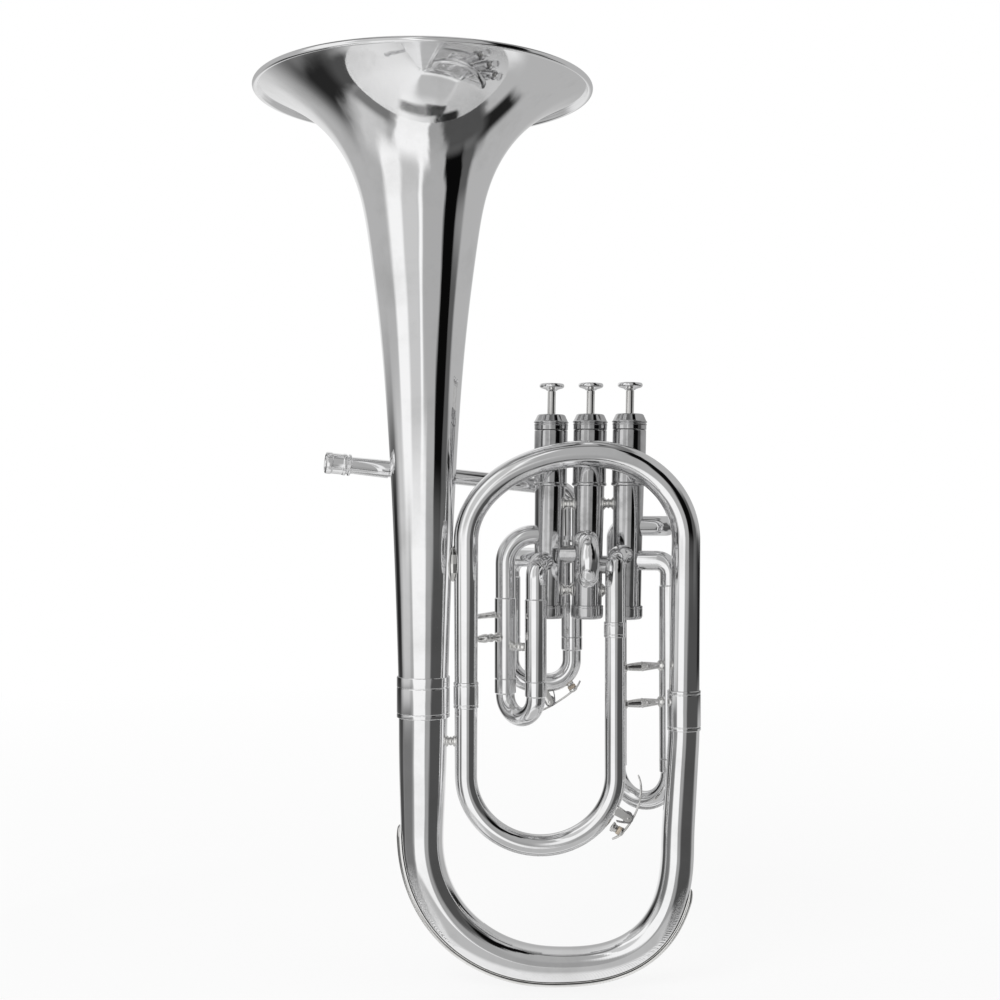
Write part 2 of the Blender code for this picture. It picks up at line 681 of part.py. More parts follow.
def valve_foot(valve):
    """The foot of a casing's axis, with the valves numbered 1 to 3 from the mouthpiece end."""
    step = (valve - 2) * VALVE_SPACING
    x = BELL_X + BELL_TO_MIDDLE_VALVE + step * math.cos(VALVE_ROW_YAW)
    return Vector((x, MIDDLE_VALVE_DEPTH - step * math.sin(VALVE_ROW_YAW), CASING_FOOT_HEIGHT))


def valve_matrix(valve):
    return Matrix.Translation(valve_foot(valve)) @ Matrix.Rotation(VALVE_LEAN, 4, "Y")


def axis_point(valve, height):
    """The point of a valve's axis at a height above the floor."""
    foot = valve_foot(valve)
    return foot + Vector((math.tan(VALVE_LEAN), 0, 1)) * (height - foot.z)


def at(from_bell, depth, height):
    return Vector((BELL_X + from_bell, depth, height))


def tube_routes():
    """Each tube that ends in a valve, as (corners, bends, valve). Its last corner is inside the casing."""
    third_inlet = axis_point(3, THIRD_UPPER_PORT)
    turn_radius = (THIRD_LEFT_DEPTH - third_inlet.y) / 2
    return {
        "first_slide_left_sleeve": (
            [
                at(FIRST_LEFT_FROM_BELL, FIRST_LEFT_DEPTH, FIRST_SLEEVE_END),
                at(FIRST_LEFT_FROM_BELL, FIRST_LEFT_DEPTH, FIRST_LEFT_PORT),
                axis_point(1, FIRST_LEFT_PORT),
            ],
            [FIRST_LEFT_BEND],
            1,
        ),
        "first_slide_right_sleeve": (
            [
                at(FIRST_RIGHT_FROM_BELL, FIRST_RIGHT_DEPTH, FIRST_SLEEVE_END),
                at(FIRST_RIGHT_FROM_BELL, FIRST_RIGHT_DEPTH, FIRST_RIGHT_PORT),
                axis_point(1, FIRST_RIGHT_PORT),
            ],
            [FIRST_RIGHT_BEND],
            1,
        ),
        "main_slide_outlet_sleeve": (
            [
                at(MAIN_LEFT_FROM_BELL, MAIN_DEPTH, MAIN_SLEEVE_END),
                at(MAIN_LEFT_FROM_BELL, MAIN_DEPTH, MAIN_PORT),
                axis_point(1, MAIN_PORT),
            ],
            [MAIN_BEND],
            1,
        ),
        "second_slide_upper_sleeve": (
            [
                at(SECOND_FROM_BELL, SECOND_SLEEVE_END, SECOND_UPPER_PORT),
                at(SECOND_FROM_BELL, MIDDLE_VALVE_DEPTH, SECOND_UPPER_PORT),
            ],
            [],
            2,
        ),
        "second_slide_lower_sleeve": (
            [
                at(SECOND_FROM_BELL, SECOND_SLEEVE_END, SECOND_LOWER_PORT),
                at(SECOND_FROM_BELL, MIDDLE_VALVE_DEPTH, SECOND_LOWER_PORT),
            ],
            [],
            2,
        ),
        "third_slide_left_sleeve": (
            [
                at(THIRD_LEFT_FROM_BELL, THIRD_LEFT_DEPTH, THIRD_SLEEVE_END),
                at(THIRD_LEFT_FROM_BELL, THIRD_LEFT_DEPTH, THIRD_UPPER_PORT),
                at(THIRD_TURN_FROM_BELL, THIRD_LEFT_DEPTH, THIRD_UPPER_PORT),
                at(THIRD_TURN_FROM_BELL, third_inlet.y, THIRD_UPPER_PORT),
                third_inlet,
            ],
            [THIRD_BEND, turn_radius, turn_radius],
            3,
        ),
        "third_slide_right_sleeve": (
            [
                at(THIRD_RIGHT_FROM_BELL, THIRD_RIGHT_DEPTH, THIRD_SLEEVE_END),
                at(THIRD_RIGHT_FROM_BELL, THIRD_RIGHT_DEPTH, THIRD_LOWER_PORT),
                axis_point(3, THIRD_LOWER_PORT),
            ],
            [THIRD_BEND],
            3,
        ),
        "valve_outlet_elbow": (
            [
                Vector((OUTLET_X, 0, OUTLET_JOINT_HEIGHT + GAP / 2)),
                Vector((OUTLET_X, 0, OUTLET_HEIGHT)),
                axis_point(3, OUTLET_HEIGHT),
            ],
            [OUTLET_BEND],
            3,
        ),
    }


def sleeve_tops():
    """How far up each slide's sleeve the wider tube runs, from its open end."""
    return {
        "first_slide_left_sleeve": FIRST_SLEEVE_LENGTH,
        "first_slide_right_sleeve": FIRST_SLEEVE_LENGTH,
        "main_slide_outlet_sleeve": MAIN_SLEEVE_LENGTH,
        "third_slide_left_sleeve": THIRD_SLEEVE_LENGTH,
        "third_slide_right_sleeve": THIRD_SLEEVE_LENGTH,
    }


def tube_stations(name, length):
    if name in sleeve_tops():
        top = sleeve_tops()[name]
        return [(0, SLEEVE_RADIUS), (top, SLEEVE_RADIUS), (top + OPEN_STEP, TUBE_RADIUS), (length, TUBE_RADIUS)]
    if name == "valve_outlet_elbow":
        return [(0, OUTLET_RADIUS), (length, OUTLET_RADIUS)]
    return [(0, SECOND_SLEEVE_RADIUS), (length, SECOND_SLEEVE_RADIUS)]


def make_valve_tubes(casing_cutters):
    for name, (corners, bends, valve) in tube_routes().items():
        points = rounded_path(corners, bends)
        tube = hollow_tube(name, points, tube_stations(name, lengths_along(points)[-1]))
        combine(tube, casing_cutters[valve])


def make_knuckles(casing_cutters):
    """The short tubes that join one casing to the next."""
    for name, first, height in (
        ("knuckle_1_to_2", 1, FIRST_KNUCKLE_HEIGHT),
        ("knuckle_2_to_3", 2, SECOND_KNUCKLE_HEIGHT),
    ):
        points = [axis_point(first, height), axis_point(first + 1, height)]
        tube = hollow_tube(name, points, even_taper(points, KNUCKLE_RADIUS, KNUCKLE_RADIUS))
        combine(tube, casing_cutters[first])
        combine(tube, casing_cutters[first + 1])


def make_casing_cutters():
    reach = 0.01
    cutters = {}
    for valve in (1, 2, 3):
        start = axis_point(valve, CASING_FOOT_HEIGHT - reach)
        end = axis_point(valve, CASING_FOOT_HEIGHT + CASING_TOP)
        cutters[valve] = cylinder(f"around_casing_{valve}", start, end, CASING_RADIUS + GAP, 24)
    return cutters


def port_lines():
    """Each valve's ports as {name: (point inside, point outside)} in world space."""
    ports = {1: {}, 2: {}, 3: {}}
    for name, (corners, bends, valve) in tube_routes().items():
        ports[valve][name] = (corners[-1], corners[-2])
    for first, height in ((1, FIRST_KNUCKLE_HEIGHT), (2, SECOND_KNUCKLE_HEIGHT)):
        left, right = axis_point(first, height), axis_point(first + 1, height)
        ports[first]["knuckle_out"] = (left, right)
        ports[first + 1]["knuckle_in"] = (right, left)
    return ports


def port_bore(name):
    if name.startswith("knuckle"):
        return KNUCKLE_RADIUS - TUBE_WALL
    if name == "valve_outlet_elbow":
        return OUTLET_RADIUS - TUBE_WALL
    if name.startswith("second"):
        return SECOND_SLEEVE_RADIUS - TUBE_WALL
    return TUBE_RADIUS - TUBE_WALL


def casing_profile():
    half_bead = CASING_BEAD_WIDTH / 2
    return [
        (0, CASING_TOP),
        (BARREL_RADIUS, CASING_TOP),
        (BARREL_RADIUS, CASING_LENGTH + half_bead),
        (CASING_BEAD_RADIUS, CASING_LENGTH + half_bead / 2),
        (CASING_BEAD_RADIUS, CASING_LENGTH - half_bead / 2),
        (CASING_RADIUS, CASING_LENGTH - half_bead),
        (CASING_RADIUS, 0),
        (0, 0),
    ]


def add_casing_braces(casing, casing_cutters):
    """Turned spools from the middle casing to its neighbours, which each end a gap short of them."""
    for neighbour in (1, 3):
        for place, height in (("upper", UPPER_CASING_BRACE), ("lower", LOWER_CASING_BRACE)):
            start = axis_point(2, CASING_FOOT_HEIGHT + height)
            end = axis_point(neighbour, CASING_FOOT_HEIGHT + height)
            near = CASING_BORE - JOINT_CLEARANCE
            far = VALVE_SPACING - near
            flange = CASING_BRACE_FLANGE_LENGTH
            profile = [
                (0, far),
                (CASING_BRACE_FLANGE, far),
                (CASING_BRACE_FLANGE, far - flange),
                (CASING_BRACE_RADIUS, far - flange - CASING_BRACE_TAPER),
                (CASING_BRACE_RADIUS, near + flange + CASING_BRACE_TAPER),
                (CASING_BRACE_FLANGE, near + flange),
                (CASING_BRACE_FLANGE, near),
                (0, near),
            ]
            name = f"{place}_casing_brace_{neighbour}"
            spool = turned(name, profile, 8, None, matrix=along(start, end), closed=False)
            combine(casing, spool, "UNION")
        combine(casing, casing_cutters[neighbour])


def make_casing(valve, empty, casing_cutters, ports):
    casing = turned(f"valve_{valve}_casing", casing_profile(), VALVE_SIDES, SILVER, empty, closed=False)
    if valve == 2:
        add_casing_braces(casing, casing_cutters)
    for name, (inside, outside) in ports.items():
        ahead = (outside - inside).normalized()
        start = inside + ahead * (CASING_BORE / 2)
        port = cylinder(f"port_{valve}_{name}", start, inside + ahead * (2 * CASING_RADIUS), port_bore(name), 12)
        combine(casing, port)
    bore_end = Vector((0, 0, CASING_TOP + 0.01))
    bore = cylinder(f"casing_bore_{valve}", (0, 0, -0.01), bore_end, CASING_BORE, VALVE_SIDES, empty)
    combine(casing, bore)
    half_width = GUIDE_BAR_WIDTH / 2
    half_length = (CASING_BORE + BARREL_RADIUS) / 2
    foot = guide_bar_foot()
    low = (-half_width, -half_length, foot)
    bar = block(f"guide_bar_{valve}", low, (half_width, half_length, foot + GUIDE_BAR_HEIGHT), empty)
    combine(casing, bar, "UNION")


def guide_bar_foot():
    return PISTON_HEAD + SPRING_BOX_CEILING + GAP


def make_piston(valve, empty, ports, passages):
    """The body with its air passages, and the slotted spring box above it."""
    radius = CASING_BORE - PISTON_CLEARANCE
    box_bore = SPRING_BOX_RADIUS - SPRING_BOX_WALL
    profile = [
        (0, SPRING_BOX_TOP),
        (SPRING_BOX_RADIUS, SPRING_BOX_TOP),
        (SPRING_BOX_RADIUS, PISTON_HEAD),
        (radius, PISTON_HEAD),
        (radius, PISTON_FOOT),
        (0, PISTON_FOOT),
    ]
    piston = turned(f"valve_{valve}_piston", profile, VALVE_SIDES, PISTON_METAL, empty, closed=False)
    floor = PISTON_HEAD + SPRING_BOX_CEILING
    ceiling = SPRING_BOX_TOP - SPRING_BOX_CEILING
    hollow = cylinder(f"spring_room_{valve}", (0, 0, floor), (0, 0, ceiling), box_bore, 12, empty)
    combine(piston, hollow)
    half_slot = GUIDE_BAR_WIDTH / 2 + GAP
    slot_top = guide_bar_foot() + GUIDE_BAR_HEIGHT + PRESS_STROKE + GAP
    low = (-half_slot, -2 * SPRING_BOX_RADIUS, floor)
    slot = block(f"guide_slot_{valve}", low, (half_slot, 2 * SPRING_BOX_RADIUS, slot_top), empty)
    combine(piston, slot)
    for number, (start, end, lift, side) in enumerate(passages):
        cutter = passage_cutter(f"passage_{valve}_{number + 1}", valve, ports[start], ports[end], lift, side)
        combine(piston, cutter)


def passage_cutter(name, valve, start, end, lift, side):
    """A bent bore from one port to another, led round the piston's middle on the side given in degrees."""
    rise = Vector((0, 0, lift))
    ends = []
    for inside, outside in (start, end):
        axis = axis_point(valve, inside.z)
        mouth = inside + (outside - inside).normalized() * (1.4 * CASING_RADIUS)
        outward = (mouth - axis).normalized()
        ends.append((axis + outward * PASSAGE_DETOUR + rise, mouth + rise))
    height = (ends[0][0].z + ends[1][0].z) / 2
    turn = math.radians(side)
    middle = axis_point(valve, height) + Vector((math.cos(turn), math.sin(turn), 0)) * PASSAGE_DETOUR
    points = [ends[0][1], ends[0][0], middle, ends[1][0], ends[1][1]]
    placed = [(point, PISTON_PASSAGE_RADIUS) for point in points]
    return solid_rod(name, placed, 6, None)


PASSAGES = {
    1: [
        ("main_slide_outlet_sleeve", "knuckle_out", 0, 60),
        ("main_slide_outlet_sleeve", "first_slide_left_sleeve", PRESS_STROKE, 160),
        ("first_slide_right_sleeve", "knuckle_out", PRESS_STROKE, 300),
    ],
    2: [
        ("knuckle_in", "knuckle_out", 0, 90),
        ("knuckle_in", "second_slide_upper_sleeve", PRESS_STROKE, 215),
        ("second_slide_lower_sleeve", "knuckle_out", PRESS_STROKE, 310),
    ],
    3: [
        ("knuckle_in", "valve_outlet_elbow", 0, 215),
        ("knuckle_in", "third_slide_right_sleeve", PRESS_STROKE, 90),
        ("third_slide_left_sleeve", "valve_outlet_elbow", PRESS_STROKE, 310),
    ],
}


def make_spring(valve, empty):
    """One unbroken coil from the guide bar up to the spring box's ceiling."""
    low = guide_bar_foot() + GUIDE_BAR_HEIGHT + GAP + SPRING_WIRE_RADIUS
    high = SPRING_BOX_TOP - SPRING_BOX_CEILING - GAP - SPRING_WIRE_RADIUS
    count = 8 * SPRING_TURNS
    placed = []
    for k in range(count + 1):
        turn = 2 * math.pi * SPRING_TURNS * k / count
        height = low + (high - low) * k / count
        point = Vector((SPRING_COIL_RADIUS * math.cos(turn), SPRING_COIL_RADIUS * math.sin(turn), height))
        placed.append((point, SPRING_WIRE_RADIUS))
    solid_rod(f"valve_{valve}_spring", placed, 6, SPRING_STEEL, empty)
    return least_self_gap([point for point, radius in placed], SPRING_WIRE_RADIUS)


def least_self_gap(points, radius):
    """The smallest distance between turns, measured on points at least half a turn apart, less the wire."""
    least = min((a - b).length for i, a in enumerate(points) for b in points[i + 4 :])
    return least - 2 * radius


def button_foot():
    return CASING_TOP + GAP + TOP_CAP_HEIGHT + PRESS_STROKE + GAP


def make_stem(valve, empty):
    """A rod with a broad foot on the spring box and a spigot that screws into the button."""
    foot = SPRING_BOX_TOP + GAP
    top = button_foot() - GAP
    profile = [
        (0, top + STEM_SPIGOT_LENGTH),
        (STEM_SPIGOT_RADIUS, top + STEM_SPIGOT_LENGTH),
        (STEM_SPIGOT_RADIUS, top),
        (STEM_RADIUS, top),
        (STEM_RADIUS, foot + STEM_FOOT_HEIGHT),
        (STEM_FOOT_RADIUS, foot + STEM_FOOT_HEIGHT),
        (STEM_FOOT_RADIUS, foot),
        (0, foot),
    ]
    turned(f"valve_{valve}_stem", profile, 12, NICKEL, empty, closed=False)


def make_button(valve, empty):
    """A dished finger button with a rounded rim and a boss round the stem's spigot."""
    low = button_foot()
    top = low + BUTTON_HEIGHT
    hole = STEM_SPIGOT_RADIUS + GAP
    depth = low + STEM_SPIGOT_LENGTH + GAP
    profile = [
        (0, top - BUTTON_HEIGHT * 0.16),
        (BUTTON_RADIUS * 0.86, top),
        (BUTTON_RADIUS * 0.97, top - BUTTON_HEIGHT * 0.12),
        (BUTTON_RADIUS, top - BUTTON_HEIGHT * 0.34),
        (BUTTON_RADIUS * 0.93, top - BUTTON_HEIGHT * 0.6),
        (STEM_RADIUS * 1.5, top - BUTTON_HEIGHT * 0.78),
        (STEM_RADIUS * 1.25, low),
        (hole, low),
        (hole, depth),
        (0, depth),
    ]
    turned(f"valve_{valve}_finger_button", profile, 16, SILVER, empty, closed=False)


def make_top_cap(valve, empty):
    """A coned cap with a milled ridge, a hole for the stem and a spigot down the casing."""
    seat = CASING_TOP + GAP
    crown = seat + TOP_CAP_HEIGHT
    ridge = seat + TOP_CAP_SKIRT
    hole = STEM_RADIUS + GAP
    spigot = CASING_BORE - GAP
    spigot_bore = spigot - TOP_CAP_SPIGOT_WALL
    profile = [
        (hole, crown),
        (TOP_CAP_CROWN_RADIUS - 0.0006, crown),
        (TOP_CAP_CROWN_RADIUS, crown - 0.0006),
        (TOP_CAP_RADIUS + TOP_CAP_RIDGE, ridge),
        (TOP_CAP_RADIUS, ridge - 0.0016),
        (TOP_CAP_RADIUS, seat),
        (spigot, seat),
        (spigot, seat - TOP_CAP_SPIGOT_LENGTH),
        (spigot_bore, seat - TOP_CAP_SPIGOT_LENGTH),
        (spigot_bore, crown - TOP_CAP_CEILING),
        (hole, crown - TOP_CAP_CEILING),
    ]
    turned(f"valve_{valve}_top_cap", profile, VALVE_SIDES, SILVER, empty)


def make_bottom_cap(valve, empty):
    """A cup over the casing's foot, with a vent in its floor."""
    inner = CASING_RADIUS + GAP
    top = BOTTOM_CAP_OVERLAP
    bottom = top - BOTTOM_CAP_HEIGHT
    floor = bottom + BOTTOM_CAP_WALL + 0.0003
    profile = [
        (BOTTOM_CAP_RADIUS, top),
        (BOTTOM_CAP_RADIUS, bottom + 0.0022),
        (BOTTOM_CAP_RADIUS - 0.0009, bottom + 0.0006),
        (BOTTOM_CAP_RADIUS - 0.0035, bottom),
        (BOTTOM_CAP_VENT, bottom),
        (BOTTOM_CAP_VENT, floor),
        (inner, floor),
        (inner, top),
    ]
    turned(f"valve_{valve}_bottom_cap", profile, VALVE_SIDES, SILVER, empty)


def make_valves(casing_cutters):
    ports = port_lines()
    spring_gap = 0
    for valve in (1, 2, 3):
        empty = add_empty(f"valve_{valve}_axis", valve_matrix(valve))
        make_casing(valve, empty, casing_cutters, ports[valve])
        make_piston(valve, empty, ports[valve], PASSAGES[valve])
        spring_gap = make_spring(valve, empty)
        make_stem(valve, empty)
        make_button(valve, empty)
        make_top_cap(valve, empty)
        make_bottom_cap(valve, empty)
    print(f"valve spring: least gap between turns {spring_gap * 1000:.2f} mm")


def slide_stations(total, leg_length, collar, leg_radius, collar_radius, bow_radius):
    """Thin legs inside the sleeves, a collar at each sleeve's end, and the bow between."""
    half = [
        (0, leg_radius),
        (leg_length, leg_radius),
        (leg_length + OPEN_STEP, collar_radius),
        (leg_length + collar, collar_radius),
        (leg_length + collar + OPEN_STEP, bow_radius),
    ]
    return half + [(total - distance, radius) for distance, radius in reversed(half)]


def make_slide(name, corners, bend, leg_length, collar, sleeve_radius, bow_radius):
    """A slide still solid, and its even bore."""
    points = rounded_path(corners, [bend, bend])
    leg = sleeve_radius - TUBE_WALL - SLIDE_CLEARANCE
    total = lengths_along(points)[-1]
    stations = slide_stations(total, leg_length, collar, leg, sleeve_radius, bow_radius)
    return rod_and_bore(name, points, stations, even_taper(points, leg - SLIDE_WALL, leg - SLIDE_WALL))


def make_upright_slide(name, left, right, sleeve_end, leg_length, bottom, bend, collar):
    """A slide that hangs from two upright sleeves. Left and right are (x, y) of its legs."""
    top = sleeve_end - GAP + leg_length
    corners = [
        Vector((*left, top)),
        Vector((*left, bottom)),
        Vector((*right, bottom)),
        Vector((*right, top)),
    ]
    return make_slide(name, corners, bend, leg_length, collar, SLEEVE_RADIUS, SLIDE_BOW_RADIUS)


def make_first_slide():
    left = (BELL_X + FIRST_LEFT_FROM_BELL, FIRST_LEFT_DEPTH)
    right = (BELL_X + FIRST_RIGHT_FROM_BELL, FIRST_RIGHT_DEPTH)
    half = math.dist(left, right) / 2
    return make_upright_slide(
        "first_valve_slide",
        left,
        right,
        FIRST_SLEEVE_END,
        FIRST_LEG_LENGTH,
        FIRST_BOW_BOTTOM,
        half,
        SLIDE_COLLAR_LENGTH,
    )


def make_second_slide():
    x = BELL_X + SECOND_FROM_BELL
    leg_end = SECOND_SLEEVE_END - GAP + SECOND_LEG_LENGTH
    corners = [
        Vector((x, leg_end, SECOND_UPPER_PORT)),
        Vector((x, SECOND_BOW_FRONT, SECOND_UPPER_PORT)),
        Vector((x, SECOND_BOW_FRONT, SECOND_LOWER_PORT)),
        Vector((x, leg_end, SECOND_LOWER_PORT)),
    ]
    return make_slide(
        "second_valve_slide",
        corners,
        (SECOND_UPPER_PORT - SECOND_LOWER_PORT) / 2,
        SECOND_LEG_LENGTH,
        SECOND_COLLAR_LENGTH,
        SECOND_SLEEVE_RADIUS,
        SECOND_SLEEVE_RADIUS - GAP,
    )


def make_third_slide():
    left = (BELL_X + THIRD_LEFT_FROM_BELL, THIRD_LEFT_DEPTH)
    right = (BELL_X + THIRD_RIGHT_FROM_BELL, THIRD_RIGHT_DEPTH)
    half = math.dist(left, right) / 2
    return make_upright_slide(
        "third_valve_slide",
        left,
        right,
        THIRD_SLEEVE_END,
        THIRD_LEG_LENGTH,
        THIRD_BOW_BOTTOM,
        half,
        THIRD_COLLAR_LENGTH,
    )


def make_main_slide():
    return make_upright_slide(
        "main_tuning_slide",
        (BELL_X + MAIN_LEFT_FROM_BELL, MAIN_DEPTH),
        (BELL_X + MAIN_RIGHT_FROM_BELL, MAIN_DEPTH),
        MAIN_SLEEVE_END,
        MAIN_LEG_LENGTH,
        MAIN_BOW_BOTTOM,
        MAIN_BOW_BEND,
        MAIN_COLLAR_LENGTH,
    )


def leadpipe_ends():
    """The leadpipe's start at the receiver, its corner above the tuning slide, and its lower end."""
    corner = at(MAIN_RIGHT_FROM_BELL, MAIN_DEPTH, LEADPIPE_HEIGHT)
    mouth = Vector(
        (BELL_X - BELL_TO_RECEIVER, MAIN_DEPTH - LEADPIPE_ADVANCE, LEADPIPE_HEIGHT + LEADPIPE_RISE)
    )
    return mouth, corner, Vector((corner.x, corner.y, MAIN_INLET_SLEEVE_TOP - 0.006))


def make_leadpipe():
    mouth, corner, lower = leadpipe_ends()
    start = mouth + (corner - mouth).normalized() * (RECEIVER_LENGTH + GAP)
    points = rounded_path([start, corner, lower], [LEADPIPE_BEND])
    hollow_tube("leadpipe", points, even_taper(points, LEADPIPE_RADIUS, LEADPIPE_RADIUS))
    neck = LEADPIPE_RADIUS + JOINT_CLEARANCE
    top = MAIN_INLET_SLEEVE_TOP
    bore = SLEEVE_RADIUS - TUBE_WALL
    profile = [
        (neck + TUBE_WALL, top),
        (neck + TUBE_WALL, top - 0.003),
        (SLEEVE_RADIUS, top - 0.0036),
        (SLEEVE_RADIUS, MAIN_SLEEVE_END),
        (bore, MAIN_SLEEVE_END),
        (bore, top - 0.0046),
        (neck, top - 0.0042),
        (neck, top),
    ]
    place = Matrix.Translation((corner.x, corner.y, 0))
    turned("main_slide_inlet_sleeve", profile, TUBE_SIDES, matrix=place)


def make_receiver():
    """The mouthpiece socket: a collar with a ring, a tapered bore, and a tube down to the leadpipe."""
    mouth, corner, lower = leadpipe_ends()
    collar = RECEIVER_COLLAR_LENGTH
    end = RECEIVER_LENGTH
    bore_end = RECEIVER_BORE - RECEIVER_BORE_TAPER
    outer = [
        (RECEIVER_TUBE_RADIUS + 0.0011, 0.0),
        (RECEIVER_COLLAR_RADIUS, 0.0008),
        (RECEIVER_COLLAR_RADIUS, collar),
        (RECEIVER_TUBE_RADIUS + 0.0004, collar + 0.0006),
        (RECEIVER_TUBE_RADIUS + 0.0004, collar + 0.0011),
        (RECEIVER_COLLAR_RADIUS, collar + 0.0014),
        (RECEIVER_COLLAR_RADIUS, collar + 0.0026),
        (RECEIVER_TUBE_RADIUS, collar + 0.0032),
        (RECEIVER_END_RADIUS, end),
    ]
    inner = [
        (LEADPIPE_RADIUS - TUBE_WALL, end),
        (bore_end, RECEIVER_BORE_DEPTH),
        (RECEIVER_BORE, 0.0008),
        (RECEIVER_BORE + 0.0004, 0.0),
    ]
    profile = [(radius, -distance) for radius, distance in outer + inner]
    place = along(mouth, mouth - (corner - mouth))
    turned("mouthpiece_receiver", profile, TUBE_SIDES, matrix=place)


def lens_between(name, centre, size, cutters, matrix=None):
    """A soldered flange: a flattened ball between two tubes, cut a gap clear of both."""
    shape = bmesh.new()
    bmesh.ops.create_uvsphere(shape, u_segments=10, v_segments=6, radius=0.5)
    bmesh.ops.scale(shape, verts=shape.verts, vec=size)
    mesh = bpy.data.meshes.new(name)
    shape.to_mesh(mesh)
    shape.free()
    place = Matrix.Translation(centre) @ (matrix or Matrix.Identity(4))
    lens = add_object(name, mesh, NICKEL, matrix=place)
    for cutter in cutters:
        combine(lens, cutter)
    return lens


def bell_cutter():
    """The bell's outer form, one gap larger, as a solid."""
    heights = bell_heights()
    profile = [(0, heights[0])] + [(bell_radius(z) + GAP, z) for z in heights] + [(0, heights[-1])]
    return turned(
        "around_bell", profile, BELL_SIDES, None, matrix=Matrix.Translation((BELL_X, 0, 0)), closed=False
    )


def leg_cutter(name, x, y, height, radius, reach=0.02):
    return cylinder(name, (x, y, height - reach), (x, y, height + reach), radius + GAP)


def brace(name, start, end, height, radii, flange, neck, bead, offset=0.0, bead_length=0.0014):
    """A turned brace between two upright tubes. Start and end are (x, y) of their axes."""
    line = Vector(end) - Vector(start)
    side = Vector((-line.y, line.x)).normalized() * offset
    low = Vector((*(Vector(start) + side), height))
    high = Vector((*(Vector(end) + side), height))
    length = line.length
    first = radii[0] * 0.75
    last = length - radii[1] * 0.75
    inner, outer = radii[0] + 0.0011, length - radii[1] - 0.0011
    middle = (inner + outer) / 2
    profile = [
        (0, last),
        (flange, last),
        (flange, outer + 0.0003),
        (neck, outer - 0.0004),
        (neck * 1.25, middle + bead_length),
        (bead, middle + bead_length * 0.5),
        (bead, middle - bead_length * 0.5),
        (neck * 1.25, middle - bead_length),
        (neck, inner + 0.0004),
        (flange, inner - 0.0003),
        (flange, first),
        (0, first),
    ]
    rod = turned(name, profile, 8, NICKEL, matrix=along(low, high), closed=False)
    combine(rod, leg_cutter(name + "_first_seat", start[0], start[1], height, radii[0]))
    combine(rod, leg_cutter(name + "_second_seat", end[0], end[1], height, radii[1]))


def make_braces():
    inner = (INNER_LEG_X, 0)
    outlet = (OUTLET_X, 0)
    first_left = (BELL_X + FIRST_LEFT_FROM_BELL, FIRST_LEFT_DEPTH)
    first_right = (BELL_X + FIRST_RIGHT_FROM_BELL, FIRST_RIGHT_DEPTH)
    main_left = (BELL_X + MAIN_LEFT_FROM_BELL, MAIN_DEPTH)
    third_right = (BELL_X + THIRD_RIGHT_FROM_BELL, THIRD_RIGHT_DEPTH)
    thin = TOP_BOW_END_RADIUS + 0.0003
    brace("slide_bead_brace", inner, first_left, BEAD_BRACE_HEIGHT, (thin, SLEEVE_RADIUS), 0.003, 0.0013, 0.0026)
    brace(
        "first_slide_spool",
        first_left,
        first_right,
        SPOOL_HEIGHT,
        (SLEEVE_RADIUS, SLEEVE_RADIUS),
        0.0032,
        0.0015,
        0.0025,
    )
    brace(
        "tuning_slide_rod",
        inner,
        main_left,
        TUNING_ROD_HEIGHT,
        (thin, SLEEVE_RADIUS),
        0.0024,
        0.0015,
        0.0018,
        TUNING_ROD_OFFSET,
    )
    small = SMALL_BOW_END_RADIUS + 0.0003
    for name, height in (("third_slide_upper_brace", THIRD_UPPER_BRACE), ("third_slide_lower_brace", THIRD_LOWER_BRACE)):
        brace(name, outlet, third_right, height, (small, SLEEVE_RADIUS), 0.0031, 0.0017, 0.0028)
    below_joint = BELL_JOINT_HEIGHT - LOWER_BRACE_HEIGHT
    leg = bottom_bow_radius(below_joint / lengths_along(bottom_bow_path(BOTTOM_BOW_CENTRE))[-1])
    brace(
        "lower_bell_brace",
        (BELL_X, 0),
        inner,
        LOWER_BRACE_HEIGHT,
        (leg, SMALL_BOW_START_RADIUS),
        0.0034,
        0.0017,
        0.0024,
        bead_length=0.0004,
    )


def make_flanges(around_bell):
    upper_leg = leg_cutter("around_upper_leg", INNER_LEG_X, 0, BELL_BRACE_HEIGHT, TOP_BOW_END_RADIUS + 0.0005)
    contact = (bell_radius(BELL_BRACE_HEIGHT) + BELL_TO_INNER_LEG - TOP_BOW_END_RADIUS) / 2
    lens_between(
        "upper_bell_flange",
        (BELL_X + contact, 0, BELL_BRACE_HEIGHT),
        (0.012, BELL_BRACE_DEEP, BELL_BRACE_TALL),
        [around_bell, upper_leg],
    )
    mouth, corner, lower = leadpipe_ends()
    ahead = (corner - mouth).normalized()
    start = mouth + ahead * (RECEIVER_LENGTH + GAP)
    pipe = cylinder("around_leadpipe", start - ahead * 0.01, start + ahead * 0.05, LEADPIPE_RADIUS + GAP)
    receiver = cylinder("around_receiver", mouth, start, RECEIVER_END_RADIUS + GAP)
    centre = start + ahead * 0.0105 - Vector((0, 0.0055, 0.001))
    lens_between(
        "leadpipe_flange",
        centre,
        (0.017, 0.012, LEADPIPE_FLANGE_TALL),
        [around_bell, pipe, receiver],
    )


def key_matrix(from_bell, depth, height, slope):
    """Local X runs along the lever to its cork, local Y away from the tube, local Z along the pin."""
    arm = Vector((math.cos(slope), 0, math.sin(slope)))
    pin = Vector((0, 1 if math.cos(slope) > 0 else -1, 0))
    away = pin.cross(arm)
    turn = Matrix((arm, away, pin)).transposed().to_4x4()
    return Matrix.Translation(at(from_bell, depth, height)) @ turn


